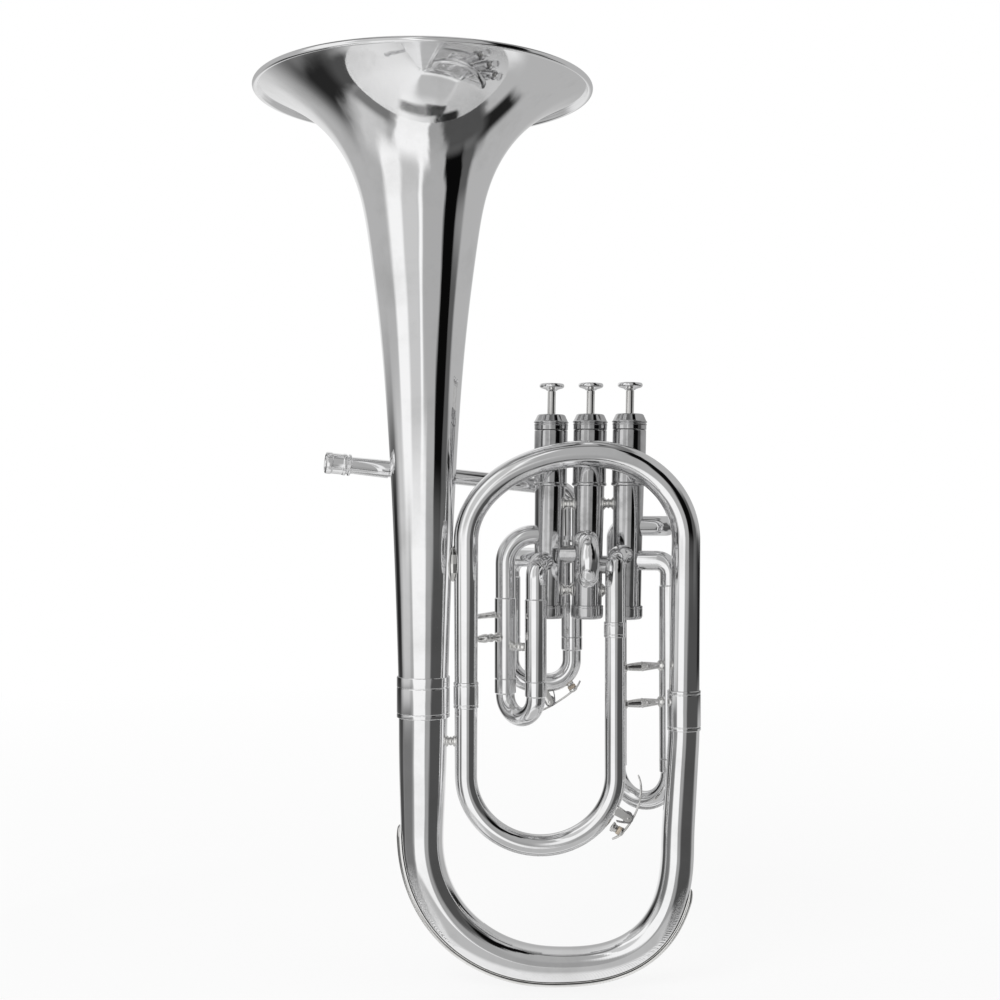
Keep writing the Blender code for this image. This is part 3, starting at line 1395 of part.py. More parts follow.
def strip_outline(centre_line, thickness):
    """A closed outline at half the thickness on both sides of a line of (x, y) points."""
    line = [Vector(point) for point in centre_line]
    above, below = [], []
    for k, point in enumerate(line):
        ahead = (line[min(k + 1, len(line) - 1)] - line[max(k - 1, 0)]).normalized()
        side = Vector((-ahead.y, ahead.x)) * thickness / 2
        above.append(point + side)
        below.append(point - side)
    return above + below[::-1]


def flat_plate(name, outline, half_width, material, parent, shift=0.0):
    """A flat outline in local XY, extruded along local Z."""
    curve = bpy.data.curves.new(name, "CURVE")
    curve.dimensions = "2D"
    curve.fill_mode = "BOTH"
    curve.extrude = half_width
    spline = curve.splines.new("POLY")
    spline.points.add(len(outline) - 1)
    for target, point in zip(spline.points, outline):
        target.co = (point[0], point[1], 0, 1)
    spline.use_cyclic_u = True
    guide = bpy.data.objects.new(name + "_outline", curve)
    CUTTERS.objects.link(guide)
    mesh = bpy.data.meshes.new_from_object(guide.evaluated_get(bpy.context.evaluated_depsgraph_get()))
    mesh.name = name
    bpy.data.objects.remove(guide)
    shape = bmesh.new()
    shape.from_mesh(mesh)
    bmesh.ops.remove_doubles(shape, verts=shape.verts, dist=0.00001)
    bmesh.ops.recalc_face_normals(shape, faces=shape.faces)
    shape.to_mesh(mesh)
    shape.free()
    return add_object(name, mesh, material, parent, Matrix.Translation((0, 0, shift)))


def make_water_key(prefix, tube, tube_bore, matrix, cork_arm):
    """A sprung lever on a pin between two ears. Its cork closes the nipple on the tube."""
    parent = add_empty(prefix + "_pivot", matrix)
    cup_top = 0.0024
    cup_foot = 0.0004
    nipple_top = cup_foot - 2 * GAP - KEY_CORK_THICKNESS
    half_width = KEY_WIDTH / 2
    finger = KEY_FINGER_ARM
    line = [
        (-finger, -0.0078),
        (-finger * 0.88, -0.0042),
        (-finger * 0.68, -0.0008),
        (-finger * 0.4, 0.0018),
        (-0.003, 0.0029),
        (0.003, 0.003),
        (cork_arm * 0.75, 0.0025),
        (cork_arm + 0.003, 0.0012),
        (cork_arm + 0.0065, -0.0012),
    ]
    outline = strip_outline(line, KEY_PLATE_THICKNESS)
    lever = flat_plate(prefix, outline, half_width, NICKEL, parent)
    side = Vector((0, 0, half_width))
    hub = cylinder(prefix + "_hub", -side * 0.999, side * 0.999, KEY_HUB_RADIUS, 12, parent)
    combine(lever, hub, "UNION")
    cup = cylinder(prefix + "_cup", (cork_arm, cup_foot, 0), (cork_arm, cup_top, 0), KEY_CORK_RADIUS, 12, parent)
    combine(lever, cup, "UNION")
    bore = cylinder(prefix + "_bore", -side * 2, side * 2, KEY_PIN_RADIUS + GAP, 12, parent)
    combine(lever, bore)
    cork_high = cup_foot - GAP
    cork_low = cork_high - KEY_CORK_THICKNESS
    start, end = (cork_arm, cork_low, 0), (cork_arm, cork_high, 0)
    cylinder(prefix + "_cork", start, end, KEY_CORK_RADIUS * 0.9, 12, parent, CORK)
    ear = KEY_EAR_RADIUS
    ear_outline = [(-ear * 1.25, -KEY_EAR_REACH), (-ear, 0)]
    ear_outline += [(ear * math.cos(a), ear * math.sin(a)) for a in (2.1, 1.05)]
    ear_outline += [(ear, 0), (ear * 1.25, -KEY_EAR_REACH)]
    inner_face = half_width + GAP
    for place in (1, -1):
        shift = place * (inner_face + KEY_EAR_WIDTH / 2)
        name = f"{prefix}_ear_{'left' if place > 0 else 'right'}"
        combine(tube, flat_plate(name, ear_outline, KEY_EAR_WIDTH / 2, None, parent, shift), "UNION")
    reach = Vector((0, 0, inner_face + KEY_EAR_WIDTH * 0.6))
    pin = cylinder(prefix + "_pin", -reach, reach, KEY_PIN_RADIUS, 6, parent)
    combine(tube, pin, "UNION")
    nipple = cylinder(
        prefix + "_nipple",
        (cork_arm, -KEY_NIPPLE_REACH + GAP, 0),
        (cork_arm, nipple_top, 0),
        KEY_NIPPLE_RADIUS,
        12,
        parent,
    )
    combine(tube, nipple, "UNION")
    combine(tube, tube_bore)
    drain = cylinder(
        prefix + "_drain",
        (cork_arm, -KEY_NIPPLE_REACH, 0),
        (cork_arm, nipple_top + 0.002, 0),
        KEY_NIPPLE_BORE,
        8,
        parent,
    )
    combine(tube, drain)


BOTTOM_BOW_CENTRE = bottom_bow_centre_height()


def main():
    casing_cutters = make_casing_cutters()
    around_bell = bell_cutter()
    make_bell()
    make_bell_ferrule()
    make_bottom_bow()
    make_bow_guard()
    make_top_bow()
    small_bow, small_bow_bore = make_small_bow()
    make_ferrule(
        "bottom_bow_ferrule",
        RIGHT_LEG_X,
        RIGHT_JOINT_HEIGHT,
        RIGHT_FERRULE_ABOVE,
        RIGHT_FERRULE_BELOW,
        RIGHT_FERRULE_RADIUS,
        max(BOTTOM_BOW_END_RADIUS, TOP_BOW_START_RADIUS) + 0.0001,
    )
    make_ferrule(
        "top_bow_ferrule",
        INNER_LEG_X,
        INNER_JOINT_HEIGHT,
        INNER_FERRULE_ABOVE,
        INNER_FERRULE_BELOW,
        INNER_FERRULE_RADIUS,
        max(TOP_BOW_END_RADIUS, SMALL_BOW_START_RADIUS),
    )
    make_ferrule(
        "small_bow_ferrule",
        OUTLET_X,
        OUTLET_JOINT_HEIGHT,
        OUTLET_FERRULE_REACH,
        OUTLET_FERRULE_REACH,
        OUTLET_FERRULE_RADIUS,
        max(SMALL_BOW_END_RADIUS, OUTLET_RADIUS) - 0.00005,
    )
    make_valve_tubes(casing_cutters)
    make_knuckles(casing_cutters)
    make_valves(casing_cutters)
    for slide, bore in (make_first_slide(), make_second_slide(), make_third_slide()):
        combine(slide, bore)
    main_slide, main_slide_bore = make_main_slide()
    make_leadpipe()
    make_receiver()
    make_braces()
    make_flanges(around_bell)
    small_key = key_matrix(SMALL_KEY_FROM_BELL, 0, SMALL_KEY_HEIGHT, SMALL_KEY_SLOPE)
    make_water_key("small_bow_water_key", small_bow, small_bow_bore, small_key, SMALL_KEY_CORK_ARM)
    main_key = key_matrix(MAIN_KEY_FROM_BELL, MAIN_DEPTH, MAIN_KEY_HEIGHT, MAIN_KEY_SLOPE)
    make_water_key("main_slide_water_key", main_slide, main_slide_bore, main_key, MAIN_KEY_CORK_ARM)


main()
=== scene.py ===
import bpy
import numpy as np
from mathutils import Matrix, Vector


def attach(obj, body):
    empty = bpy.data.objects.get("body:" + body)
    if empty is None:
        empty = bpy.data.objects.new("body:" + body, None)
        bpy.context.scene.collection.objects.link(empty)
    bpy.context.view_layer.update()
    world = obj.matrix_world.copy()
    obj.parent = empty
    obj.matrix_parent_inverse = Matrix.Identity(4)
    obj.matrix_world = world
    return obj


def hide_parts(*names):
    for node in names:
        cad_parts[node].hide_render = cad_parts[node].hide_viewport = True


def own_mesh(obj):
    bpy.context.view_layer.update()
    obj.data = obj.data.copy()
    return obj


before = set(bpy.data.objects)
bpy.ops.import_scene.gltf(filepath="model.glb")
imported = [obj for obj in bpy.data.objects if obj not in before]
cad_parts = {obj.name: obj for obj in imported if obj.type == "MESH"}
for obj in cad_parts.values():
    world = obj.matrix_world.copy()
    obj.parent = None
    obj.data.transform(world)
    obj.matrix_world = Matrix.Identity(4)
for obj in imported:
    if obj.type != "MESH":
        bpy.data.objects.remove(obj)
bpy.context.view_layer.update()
print("scene: frame loaded")

# Lengths are millimetres in the frame of the CAD, which putMesh turns into metres. The studio's are metres.
metresPerUnit = 0.001
bellX, innerX, rightX, outletX = -32.4, -6.8, 124.0, 82.7
upward = np.array([0.0, 0.0, 1.0])
# the valves lean one degree to the right
valveAxis = np.array([0.017452, 0.0, 0.999848])
casingFoot = 226.0
valveFoot = {1: (43.335, 29.368, casingFoot), 2: (67.3, 26.0, casingFoot), 3: (91.265, 22.632, casingFoot)}


def valvePoint(number, height):
    # the point of a valve's axis at a height above the floor
    foot = np.array(valveFoot[number])
    return foot + valveAxis / valveAxis[2] * (height - foot[2])


# Materials

# bright and dull colour, roughness from bright to dull, size of the tarnish clouds, strength of the hairlines
metalFinish = dict(
    silver=((0.93, 0.93, 0.935), (0.80, 0.80, 0.80), (0.02, 0.07), 28.0, 0.018),
    # casing: the same silver plating made darker, as painted shade over the valve casings, their caps and the
    # knuckles
    casing=((0.62, 0.62, 0.625), (0.40, 0.40, 0.40), (0.03, 0.10), 70.0, 0.03),
    nickel=((0.88, 0.875, 0.86), (0.72, 0.71, 0.69), (0.06, 0.15), 60.0, 0.03),
    piston=((0.74, 0.74, 0.73), (0.58, 0.58, 0.57), (0.22, 0.36), 90.0, 0.06),
    spring=((0.55, 0.55, 0.57), (0.36, 0.35, 0.34), (0.28, 0.42), 120.0, 0.05),
)
metalWear = dict(
    detail=5.0, roughness=0.62, tarnish=(0.48, 0.78), gloss=(0.3, 0.75),
    hairs=(900.0, 900.0, 60.0), hairDetail=3.0,
)
corkGrain = dict(
    size=1400.0, dark=(0.30, 0.24, 0.18, 1), pale=(0.62, 0.54, 0.44, 1), paleFrom=0.6,
    strength=0.5, rough=0.85,
)
bumpDepth = 0.0002


def newMaterial(name):
    material = bpy.data.materials.new(name)
    material.use_nodes = True
    nodes = material.node_tree.nodes
    place = nodes.new("ShaderNodeTexCoord").outputs["Object"]
    return material, nodes, material.node_tree.links, nodes["Principled BSDF"], place


def mathNode(nodes, links, operation, *values):
    node = nodes.new("ShaderNodeMath")
    node.operation = operation
    for socket, value in zip(node.inputs, values):
        if isinstance(value, (int, float)):
            socket.default_value = value
        else:
            links.new(value, socket)
    return node.outputs[0]


def mapped(nodes, links, value, fromMin, fromMax, toMin=0.0, toMax=1.0, smooth=False):
    node = nodes.new("ShaderNodeMapRange")
    node.interpolation_type = "SMOOTHSTEP" if smooth else "LINEAR"
    for name, number in (("From Min", fromMin), ("From Max", fromMax), ("To Min", toMin), ("To Max", toMax)):
        node.inputs[name].default_value = number
    links.new(value, node.inputs["Value"])
    return node.outputs["Result"]


def noise(nodes, links, place, scale, detail, roughness=0.5):
    texture = nodes.new("ShaderNodeTexNoise")
    for name, number in (("Scale", scale), ("Detail", detail), ("Roughness", roughness)):
        texture.inputs[name].default_value = number
    links.new(place, texture.inputs["Vector"])
    return texture.outputs["Fac"]


def addBump(nodes, links, shader, height, strength):
    bump = nodes.new("ShaderNodeBump")
    bump.inputs["Strength"].default_value = strength
    bump.inputs["Distance"].default_value = bumpDepth
    links.new(height, bump.inputs["Height"])
    links.new(bump.outputs["Normal"], shader.inputs["Normal"])


def metalMaterial(name, colour, dull, rough, cloud, scratch):
    # plated metal: cloudy tarnish in colour and gloss, and hairline polishing marks as bump
    material, nodes, links, shader, place = newMaterial(name)
    clouds = noise(nodes, links, place, cloud, metalWear["detail"], metalWear["roughness"])
    tint = nodes.new("ShaderNodeMix")
    tint.data_type = "RGBA"
    tint.inputs["A"].default_value = (*colour, 1)
    tint.inputs["B"].default_value = (*dull, 1)
    links.new(mapped(nodes, links, clouds, *metalWear["tarnish"]), tint.inputs["Factor"])
    links.new(tint.outputs["Result"], shader.inputs["Base Color"])
    links.new(mapped(nodes, links, clouds, *metalWear["gloss"], *rough), shader.inputs["Roughness"])
    stretch = nodes.new("ShaderNodeMapping")
    stretch.inputs["Scale"].default_value = metalWear["hairs"]
    links.new(place, stretch.inputs["Vector"])
    hairs = noise(nodes, links, stretch.outputs["Vector"], 1.0, metalWear["hairDetail"])
    addBump(nodes, links, shader, hairs, scratch)
    shader.inputs["Metallic"].default_value = 1.0
    return material


def corkMaterial():
    material, nodes, links, shader, place = newMaterial("padCork")
    grains = nodes.new("ShaderNodeTexVoronoi")
    grains.inputs["Scale"].default_value = corkGrain["size"]
    links.new(place, grains.inputs["Vector"])
    shades = nodes.new("ShaderNodeValToRGB")
    shades.color_ramp.elements[0].color = corkGrain["dark"]
    shades.color_ramp.elements[1].color = corkGrain["pale"]
    shades.color_ramp.elements[1].position = corkGrain["paleFrom"]
    links.new(grains.outputs["Distance"], shades.inputs["Fac"])
    links.new(shades.outputs["Color"], shader.inputs["Base Color"])
    addBump(nodes, links, shader, grains.outputs["Distance"], corkGrain["strength"])
    shader.inputs["Roughness"].default_value = corkGrain["rough"]
    return material


silver = metalMaterial("silverPlate", *metalFinish["silver"])
# a darker copy of the silver plating, painted shade for the valve cluster
shadedCasingSilver = metalMaterial("shadedCasingSilver", *metalFinish["casing"])
nickel = metalMaterial("polishedNickel", *metalFinish["nickel"])
pistonMetal = metalMaterial("lappedPiston", *metalFinish["piston"])
springSteel = metalMaterial("springSteel", *metalFinish["spring"])
cork = corkMaterial()
print("scene: materials made")


# Surfaces

def gridFaces(rows, columns, wrapRows):
    # quads of a grid whose columns close on themselves, and whose rows do too if asked
    index = np.arange(rows * columns).reshape(rows, columns)
    below = np.roll(index, -1, axis=0)
    if not wrapRows:
        index, below = index[:-1], below[:-1]
    corners = (index, np.roll(index, -1, axis=1), np.roll(below, -1, axis=1), below)
    return np.stack(corners, axis=-1).reshape(-1, 4)


def poleFans(rows, columns):
    # triangles from the first and the last row of a grid to two pole points added after it
    first = np.arange(columns)
    last = first + (rows - 1) * columns
    start = np.full(columns, rows * columns)
    top = np.stack((start, np.roll(first, -1), first), axis=1)
    bottom = np.stack((start + 1, last, np.roll(last, -1)), axis=1)
    return np.concatenate((top, bottom))


def capped(rings):
    # rows of rings as one closed surface, each end drawn together in its middle
    rows, columns = rings.shape[:2]
    points = np.concatenate((rings.reshape(-1, 3), rings[[0, -1]].mean(axis=1)))
    return points, gridFaces(rows, columns, False), poleFans(rows, columns)


def signedVolume(points, triangles):
    a, b, c = (points[triangles[:, k]] for k in range(3))
    return np.einsum("ij,ij->i", a, np.cross(b, c)).sum() / 6


def putMesh(name, points, quads, triangles, material, body, nodes=(), sharpDegrees=38):
    # a closed mesh with its faces outwards, riding on a body and standing for CAD nodes
    points = np.asarray(points, float).reshape(-1, 3)
    triangles = np.zeros((0, 3), int) if triangles is None else triangles
    split = np.concatenate((quads[:, [0, 1, 2]], quads[:, [0, 2, 3]], triangles))
    if signedVolume(points, split) < 0:
        quads, triangles = quads[:, ::-1], triangles[:, ::-1]
    mesh = bpy.data.meshes.new(name)
    mesh.vertices.add(len(points))
    mesh.vertices.foreach_set("co", (points * metresPerUnit).astype(np.float32).ravel())
    loops = np.concatenate((quads.ravel(), triangles.ravel())).astype(np.int32)
    mesh.loops.add(len(loops))
    mesh.loops.foreach_set("vertex_index", loops)
    starts = np.concatenate((np.arange(len(quads)) * 4, len(quads) * 4 + np.arange(len(triangles)) * 3))
    mesh.polygons.add(len(starts))
    mesh.polygons.foreach_set("loop_start", starts.astype(np.int32))
    mesh.update(calc_edges=True)
    mesh.validate()
    mesh.shade_smooth()
    mesh.set_sharp_from_angle(angle=np.radians(sharpDegrees))
    mesh.materials.append(material)
    piece = bpy.data.objects.new(name, mesh)
    bpy.context.scene.collection.objects.link(piece)
    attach(piece, body)
    if nodes:
        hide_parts(*nodes)
    return piece


def joined(*surfaces):
    # several (points, quads, triangles) surfaces as one
    points, quads, triangles, count = [], [], [], 0
    for somePoints, someQuads, someTriangles in surfaces:
        points.append(somePoints.reshape(-1, 3))
        quads.append(someQuads + count)
        if someTriangles is not None:
            triangles.append(someTriangles + count)
        count += len(points[-1])
    fans = np.concatenate(triangles) if triangles else None
    return np.concatenate(points), np.concatenate(quads), fans


def softCorners(line, radius=0.25, steps=4):
    # Each inner corner P of a line gives way to the curve (1-t)^2 A + 2t(1-t) P + t^2 B,
    # where A and B lie at the radius from P, or halfway to its neighbours if those are nearer.
    line = np.asarray(line, float)
    before, corner, after = line[:-2], line[1:-1], line[2:]
    back, ahead = before - corner, after - corner
    backLength = np.linalg.norm(back, axis=1, keepdims=True)
    aheadLength = np.linalg.norm(ahead, axis=1, keepdims=True)
    a = corner + back * np.minimum(radius / backLength, 0.5)
    b = corner + ahead * np.minimum(radius / aheadLength, 0.5)
    t = np.linspace(0, 1, steps + 1)[None, :, None]
    curve = (1 - t) ** 2 * a[:, None] + 2 * t * (1 - t) * corner[:, None] + t ** 2 * b[:, None]
    return np.concatenate((line[:1], curve.reshape(-1, line.shape[1]), line[-1:]))


def softProfile(line, radius, closed):
    # an outline with soft corners, bevelled at its first point if it closes on itself
    return softCorners(line + line[:1], radius)[1:-1] if closed else softCorners(line, radius)


def lathe(profile, start, axis=upward, sides=64, closed=False):
    # a profile of (radius, height) pairs turned about an axis; an open one ends on the axis
    profile = np.asarray(profile, float)
    axis = np.asarray(axis, float) / np.linalg.norm(axis)
    side = np.cross(axis, (0.0, 1.0, 0.0) if abs(axis[1]) < 0.9 else (1.0, 0.0, 0.0))
    side /= np.linalg.norm(side)
    other = np.cross(axis, side)
    angle = np.linspace(0, 2 * np.pi, sides, endpoint=False)[None, :, None]
    ring = profile if closed else profile[1:-1]
    spoke = np.cos(angle) * side + np.sin(angle) * other
    points = np.asarray(start) + ring[:, 1, None, None] * axis + ring[:, 0, None, None] * spoke
    quads = gridFaces(len(ring), sides, closed)
    if closed:
        return points.reshape(-1, 3), quads, None
    poles = np.asarray(start) + profile[[0, -1], 1][:, None] * axis
    return np.concatenate((points.reshape(-1, 3), poles)), quads, poleFans(len(ring), sides)


def bentLine(corners, bends, steps=20):
    # straight runs between corners, with a circular arc of its own radius at each inner corner
    corners = np.asarray(corners, float)
    runs = [corners[:1]]
    for before, corner, after, radius in zip(corners, corners[1:], corners[2:], bends):
        back = (before - corner) / np.linalg.norm(before - corner)
        ahead = (after - corner) / np.linalg.norm(after - corner)
        half = (np.pi - np.arccos(np.clip(back @ ahead, -1, 1))) / 2
        middle = (back + ahead) / np.linalg.norm(back + ahead)
        centre = corner + middle * radius / np.cos(half)
        first = corner + back * radius * np.tan(half) - centre
        angle = np.linspace(0, 2 * half, steps + 1)[:, None]
        runs.append(centre + first * np.cos(angle) - back * radius * np.sin(angle))
    runs.append(corners[-1:])
    return withoutTwins(np.concatenate(runs))


def withoutTwins(line):
    # a line without the points that lie on the ones before them
    return line[np.r_[True, np.diff(along(line)) > 1e-6]]


def along(line):
    return np.r_[0.0, np.cumsum(np.linalg.norm(np.diff(line, axis=0), axis=1))]


def sampled(line, distances):
    # positions and directions of a line at distances along it; at a corner the direction is its runs' mean
    marks = along(line)
    runs = np.diff(line, axis=0) / np.diff(marks)[:, None]
    atPoints = np.concatenate((runs[:1], runs[:-1] + runs[1:], runs[-1:]))
    atPoints /= np.linalg.norm(atPoints, axis=1, keepdims=True)
    place = np.stack([np.interp(distances, marks, line[:, k]) for k in range(3)], axis=1)
    ahead = np.stack([np.interp(distances, marks, atPoints[:, k]) for k in range(3)], axis=1)
    return place, ahead / np.linalg.norm(ahead, axis=1, keepdims=True)


def evenly(line, count):
    # a line's points at even distances along it
    line = withoutTwins(np.asarray(line, float))
    return sampled(line, np.linspace(0, along(line)[-1], count))[0]


def runningMean(values, half, **ends):
    # the mean of each value with this many neighbours on either side; ends says how to go on past the last
    window = 2 * half + 1
    return np.convolve(np.pad(values, half, **ends), np.ones(window) / window, "valid")


def leftOf(ahead):
    # for directions in the plane of the bows, the directions square to them, out of the bow
    return np.stack((ahead[:, 2], np.zeros(len(ahead)), -ahead[:, 0]), axis=1)


def onSeat(points, ahead, seat):
    # slides the points of an end ring along their direction onto a cylinder, (point, axis, radius)
    centre, axis, radius = (np.asarray(value, float) for value in seat)
    axis = axis / np.linalg.norm(axis)
    flat = points - centre
    flat = flat - (flat @ axis)[:, None] * axis
    run = ahead - (ahead @ axis) * axis
    a, b, c = run @ run, flat @ run, (flat ** 2).sum(axis=1) - radius ** 2
    share = (-b - np.sqrt(np.maximum(b * b - a * c, 0))) / a
    return points + share[:, None] * ahead


# the directions from which the circles of tubes start, which the tubes don't run along
slantwise, backward = (0.31, 0.52, 0.80), (0, 1, 0)


def tube(line, stations, wall=0.6, sides=48, seats=(None, None), soft=0.25, reference=slantwise):
    # A circle carried along a line: its radius follows the (distance, radius) stations, which are rounded
    # at their corners unless soft is 0. The outer wall runs forward and the inner wall back, so that the
    # surface closes on itself. An end may be cut to sit on a cylinder, its seat.
    marks = along(line)
    rounded = softCorners(stations, soft) if soft and len(stations) > 2 else np.asarray(stations, float)
    extra = marks[(marks > rounded[0, 0]) & (marks < rounded[-1, 0])]
    distances = np.concatenate((rounded[:, 0], extra))
    radii = np.concatenate((rounded[:, 1], np.interp(extra, rounded[:, 0], rounded[:, 1])))
    order = np.argsort(distances, kind="stable")
    distances, radii = distances[order], radii[order]
    place, ahead = sampled(line, distances)
    side = np.cross(ahead, reference)
    side /= np.linalg.norm(side, axis=1, keepdims=True)
    other = np.cross(ahead, side)
    angle = np.linspace(0, 2 * np.pi, sides, endpoint=False)[None, :, None]
    spoke = np.cos(angle) * side[:, None] + np.sin(angle) * other[:, None]
    outer = place[:, None] + radii[:, None, None] * spoke
    inner = place[:, None] + (radii - wall)[:, None, None] * spoke
    for end, seat in zip((0, -1), seats):
        if seat is not None:
            outward = -ahead[0] if end == 0 else ahead[-1]
            outer[end] = onSeat(outer[end], outward, seat)
            inner[end] = onSeat(inner[end], outward, seat)
    points = np.concatenate((outer, inner[::-1]))
    return points.reshape(-1, 3), gridFaces(len(points), sides, True), None


def rod(line, stations, sides=24, soft=0.2, reference=slantwise):
    # a solid bar along a line, closed by a pole at each end
    points = tube(line, stations, 0.0, sides, soft=soft, reference=reference)[0]
    rows = len(points) // sides // 2
    return capped(points[: rows * sides].reshape(rows, sides, 3))


# Bell

bell = dict(
    rimRadius=101.6, throatRadius=14.7, flare=23.0, rimHeight=539.0, jointHeight=174.0, wall=0.7,
    hollowDepth=3.0, hollowBelowRim=53.0, hollowReach=38.0,
    beadRadius=1.7, beadTurn=140.0, beadSteps=32, wallBelowRim=0.6, outerInset=1.6, innerInset=2.0,
    sides=160, rows=150,
)


def bellRadius(height):
    # the rim's radius times a falling power of the depth below the rim, less a wide bell-shaped hollow
    length = bell["rimHeight"] - bell["jointHeight"]
    power = np.log(bell["rimRadius"] / bell["throatRadius"]) / np.log(1 + length / bell["flare"])
    off = (bell["rimHeight"] - bell["hollowBelowRim"] - height) / bell["hollowReach"]
    hollow = bell["hollowDepth"] * np.exp(-(off**2))
    return bell["rimRadius"] * (1 + (bell["rimHeight"] - height) / bell["flare"]) ** -power - hollow


def makeBell():
    # the flare's wall, its inner side offset, under a bead rolled outwards round the rim
    top = bell["rimHeight"] - bell["wallBelowRim"]
    share = np.linspace(0, 1, bell["rows"]) ** 2
    height = top - (top - bell["jointHeight"]) * share
    outer = np.stack((bellRadius(height), height), axis=1)
    inner = np.stack((bellRadius(height) - bell["wall"], height), axis=1)[::-1]
    turn = np.radians(np.linspace(bell["beadTurn"], -bell["beadTurn"], bell["beadSteps"]))
    radius = bell["beadRadius"]
    beadX, beadZ = bell["rimRadius"] - radius, bell["rimHeight"] - radius
    bead = np.stack((beadX + radius * np.cos(turn), beadZ + radius * np.sin(turn)), axis=1)
    outer = outer[outer[:, 0] < beadX - bell["outerInset"]]
    inner = inner[inner[:, 0] < beadX - bell["innerInset"]]
    profile = np.concatenate((bead, outer, inner))
    surface = lathe(profile, (bellX, 0, 0), sides=bell["sides"], closed=True)
    putMesh("bellFlare", *surface, silver, "horn", ["bell"])


ferruleCut = dict(edge=0.25, edgeRise=0.35, halfGroove=0.45, halfFloor=0.2, depth=0.16, soft=0.12, sides=96)


def ferrule(name, node, x, low, high, outer, inner, grooves):
    # a plain sleeve with fine grooves cut round it at the given heights
    cut = ferruleCut
    line = [(inner, low), (outer - cut["edge"], low), (outer, low + cut["edgeRise"])]
    for height in grooves:
        line += [
            (outer, height - cut["halfGroove"]), (outer - cut["depth"], height - cut["halfFloor"]),
            (outer - cut["depth"], height + cut["halfFloor"]), (outer, height + cut["halfGroove"]),
        ]
    line += [(outer, high - cut["edgeRise"]), (outer - cut["edge"], high), (inner, high)]
    surface = lathe(softCorners(line, cut["soft"], 3), (x, 0, 0), sides=cut["sides"], closed=True)
    putMesh(name, *surface, silver, "horn", [node])


makeBell()
ferrule("bellJointFerrule", "bell_ferrule", bellX, 162.0, 186.6, 15.9, 14.9, (164.6, 180.2))
print("scene: bell made")


# Bows

bottomBow = dict(
    lowestX=47.0, leftX=-33.1, rightX=120.2, drop=77.2, centreHeight=90.6, leftPower=2.1, rightPower=2.7,
    top=174.0, rightTop=166.0, rightStraight=13.8, wall=0.6, sides=72, rings=241, kinkRings=4,
    # (share of the length, radius), then the steps along that share and how many either way even it out
    taper=(
        (0, 14.7), (0.10, 14.3), (0.22, 12.5), (0.35, 12.1), (0.51, 10.6), (0.575, 10.2), (0.8, 9.9), (1, 9.2),
    ),
    taperSteps=200, taperEvened=8,
)


def quarter(fromX, toX, height, drop, power, steps=400):
    # A quarter of a superellipse, from its upright end to its level end: for t up to a quarter turn, the way
    # across is the cosine of t and the way down is its sine, each to the power of 2 / power.
    t = np.linspace(0, np.pi / 2, steps + 1)
    across, down = np.cos(t) ** (2 / power), np.sin(t) ** (2 / power)
    return np.stack((toX + (fromX - toX) * across, np.zeros_like(t), height - drop * down), axis=1)


def bottomBowLine():
    bow = bottomBow
    left = quarter(bow["leftX"], bow["lowestX"], bow["centreHeight"], bow["drop"], bow["leftPower"])
    right = quarter(bow["rightX"], bow["lowestX"], bow["centreHeight"], bow["drop"], bow["rightPower"])[::-1]
    rightLeg = [[rightX, 0, bow["rightTop"] - bow["rightStraight"]], [rightX, 0, bow["rightTop"]]]
    line = evenly(np.concatenate(([[bellX, 0, bow["top"]]], left, right[1:], rightLeg)), bow["rings"])
    # a running mean takes out the slight kinks where the legs begin
    columns = [runningMean(column, bow["kinkRings"], mode="reflect", reflect_type="odd") for column in line.T]
    return np.stack(columns, axis=1)


def bottomBowRadius(share):
    knots = np.array(bottomBow["taper"])
    fine = np.linspace(0, 1, bottomBow["taperSteps"] + 1)
    radii = np.interp(fine, knots[:, 0], knots[:, 1])
    return np.interp(share, fine, runningMean(radii, bottomBow["taperEvened"], mode="edge"))


def makeBottomBow():
    line = bottomBowLine()
    marks = along(line)
    stations = np.stack((marks, bottomBowRadius(marks / marks[-1])), axis=1)
    surface = tube(line, stations, bottomBow["wall"], bottomBow["sides"], soft=0, reference=backward)
    putMesh("bottomBowTube", *surface, silver, "horn", ["bottom_bow"])


topBow = dict(
    centreHeight=267.8, rise=52.3, crownOffMiddle=8.6, lean=1.2, leftRadius=6.8, rightRadius=9.2,
    leftEnd=175.0, rightEnd=166.0,
)
smallBow = dict(
    centreHeight=127.0, rise=-42.0, crownOffMiddle=0.0, lean=0.0, leftRadius=6.85, rightRadius=6.1,
    leftEnd=175.0, rightEnd=214.5,
)
archDensity = dict(steps=500, rings=200, sides=64)


def archLine(bow, leftX, rightX):
    # along one leg, round two quarters of ellipse that meet at the crown, and along the other leg
    t = np.linspace(0, np.pi, archDensity["steps"])
    crown = (leftX + rightX) / 2 + bow["crownOffMiddle"]
    reach = np.where(t < np.pi / 2, crown - leftX, rightX + bow["lean"] - crown)
    height = bow["centreHeight"] + bow["rise"] * np.sin(t)
    arch = np.stack((crown - reach * np.cos(t), np.zeros_like(t), height), axis=1)
    line = np.concatenate(([[leftX, 0, bow["leftEnd"]]], arch, [[rightX, 0, bow["rightEnd"]]]))
    return evenly(line, archDensity["rings"])


def makeArch(name, node, bow, leftX, rightX):
    line = archLine(bow, leftX, rightX)
    stations = [(0, bow["leftRadius"]), (along(line)[-1], bow["rightRadius"])]
    surface = tube(line, stations, sides=archDensity["sides"], reference=backward)
    putMesh(name, *surface, silver, "horn", [node])


bowGuard = dict(
    thickness=2.4, width=8.4, crownShare=0.85, crownFlat=-0.18, leftHeight=97.8, rightHeight=60.0, gap=0.3,
    noseLength=7.0, noseTip=0.004, nosePower=0.6, sides=20, rings=220,
)


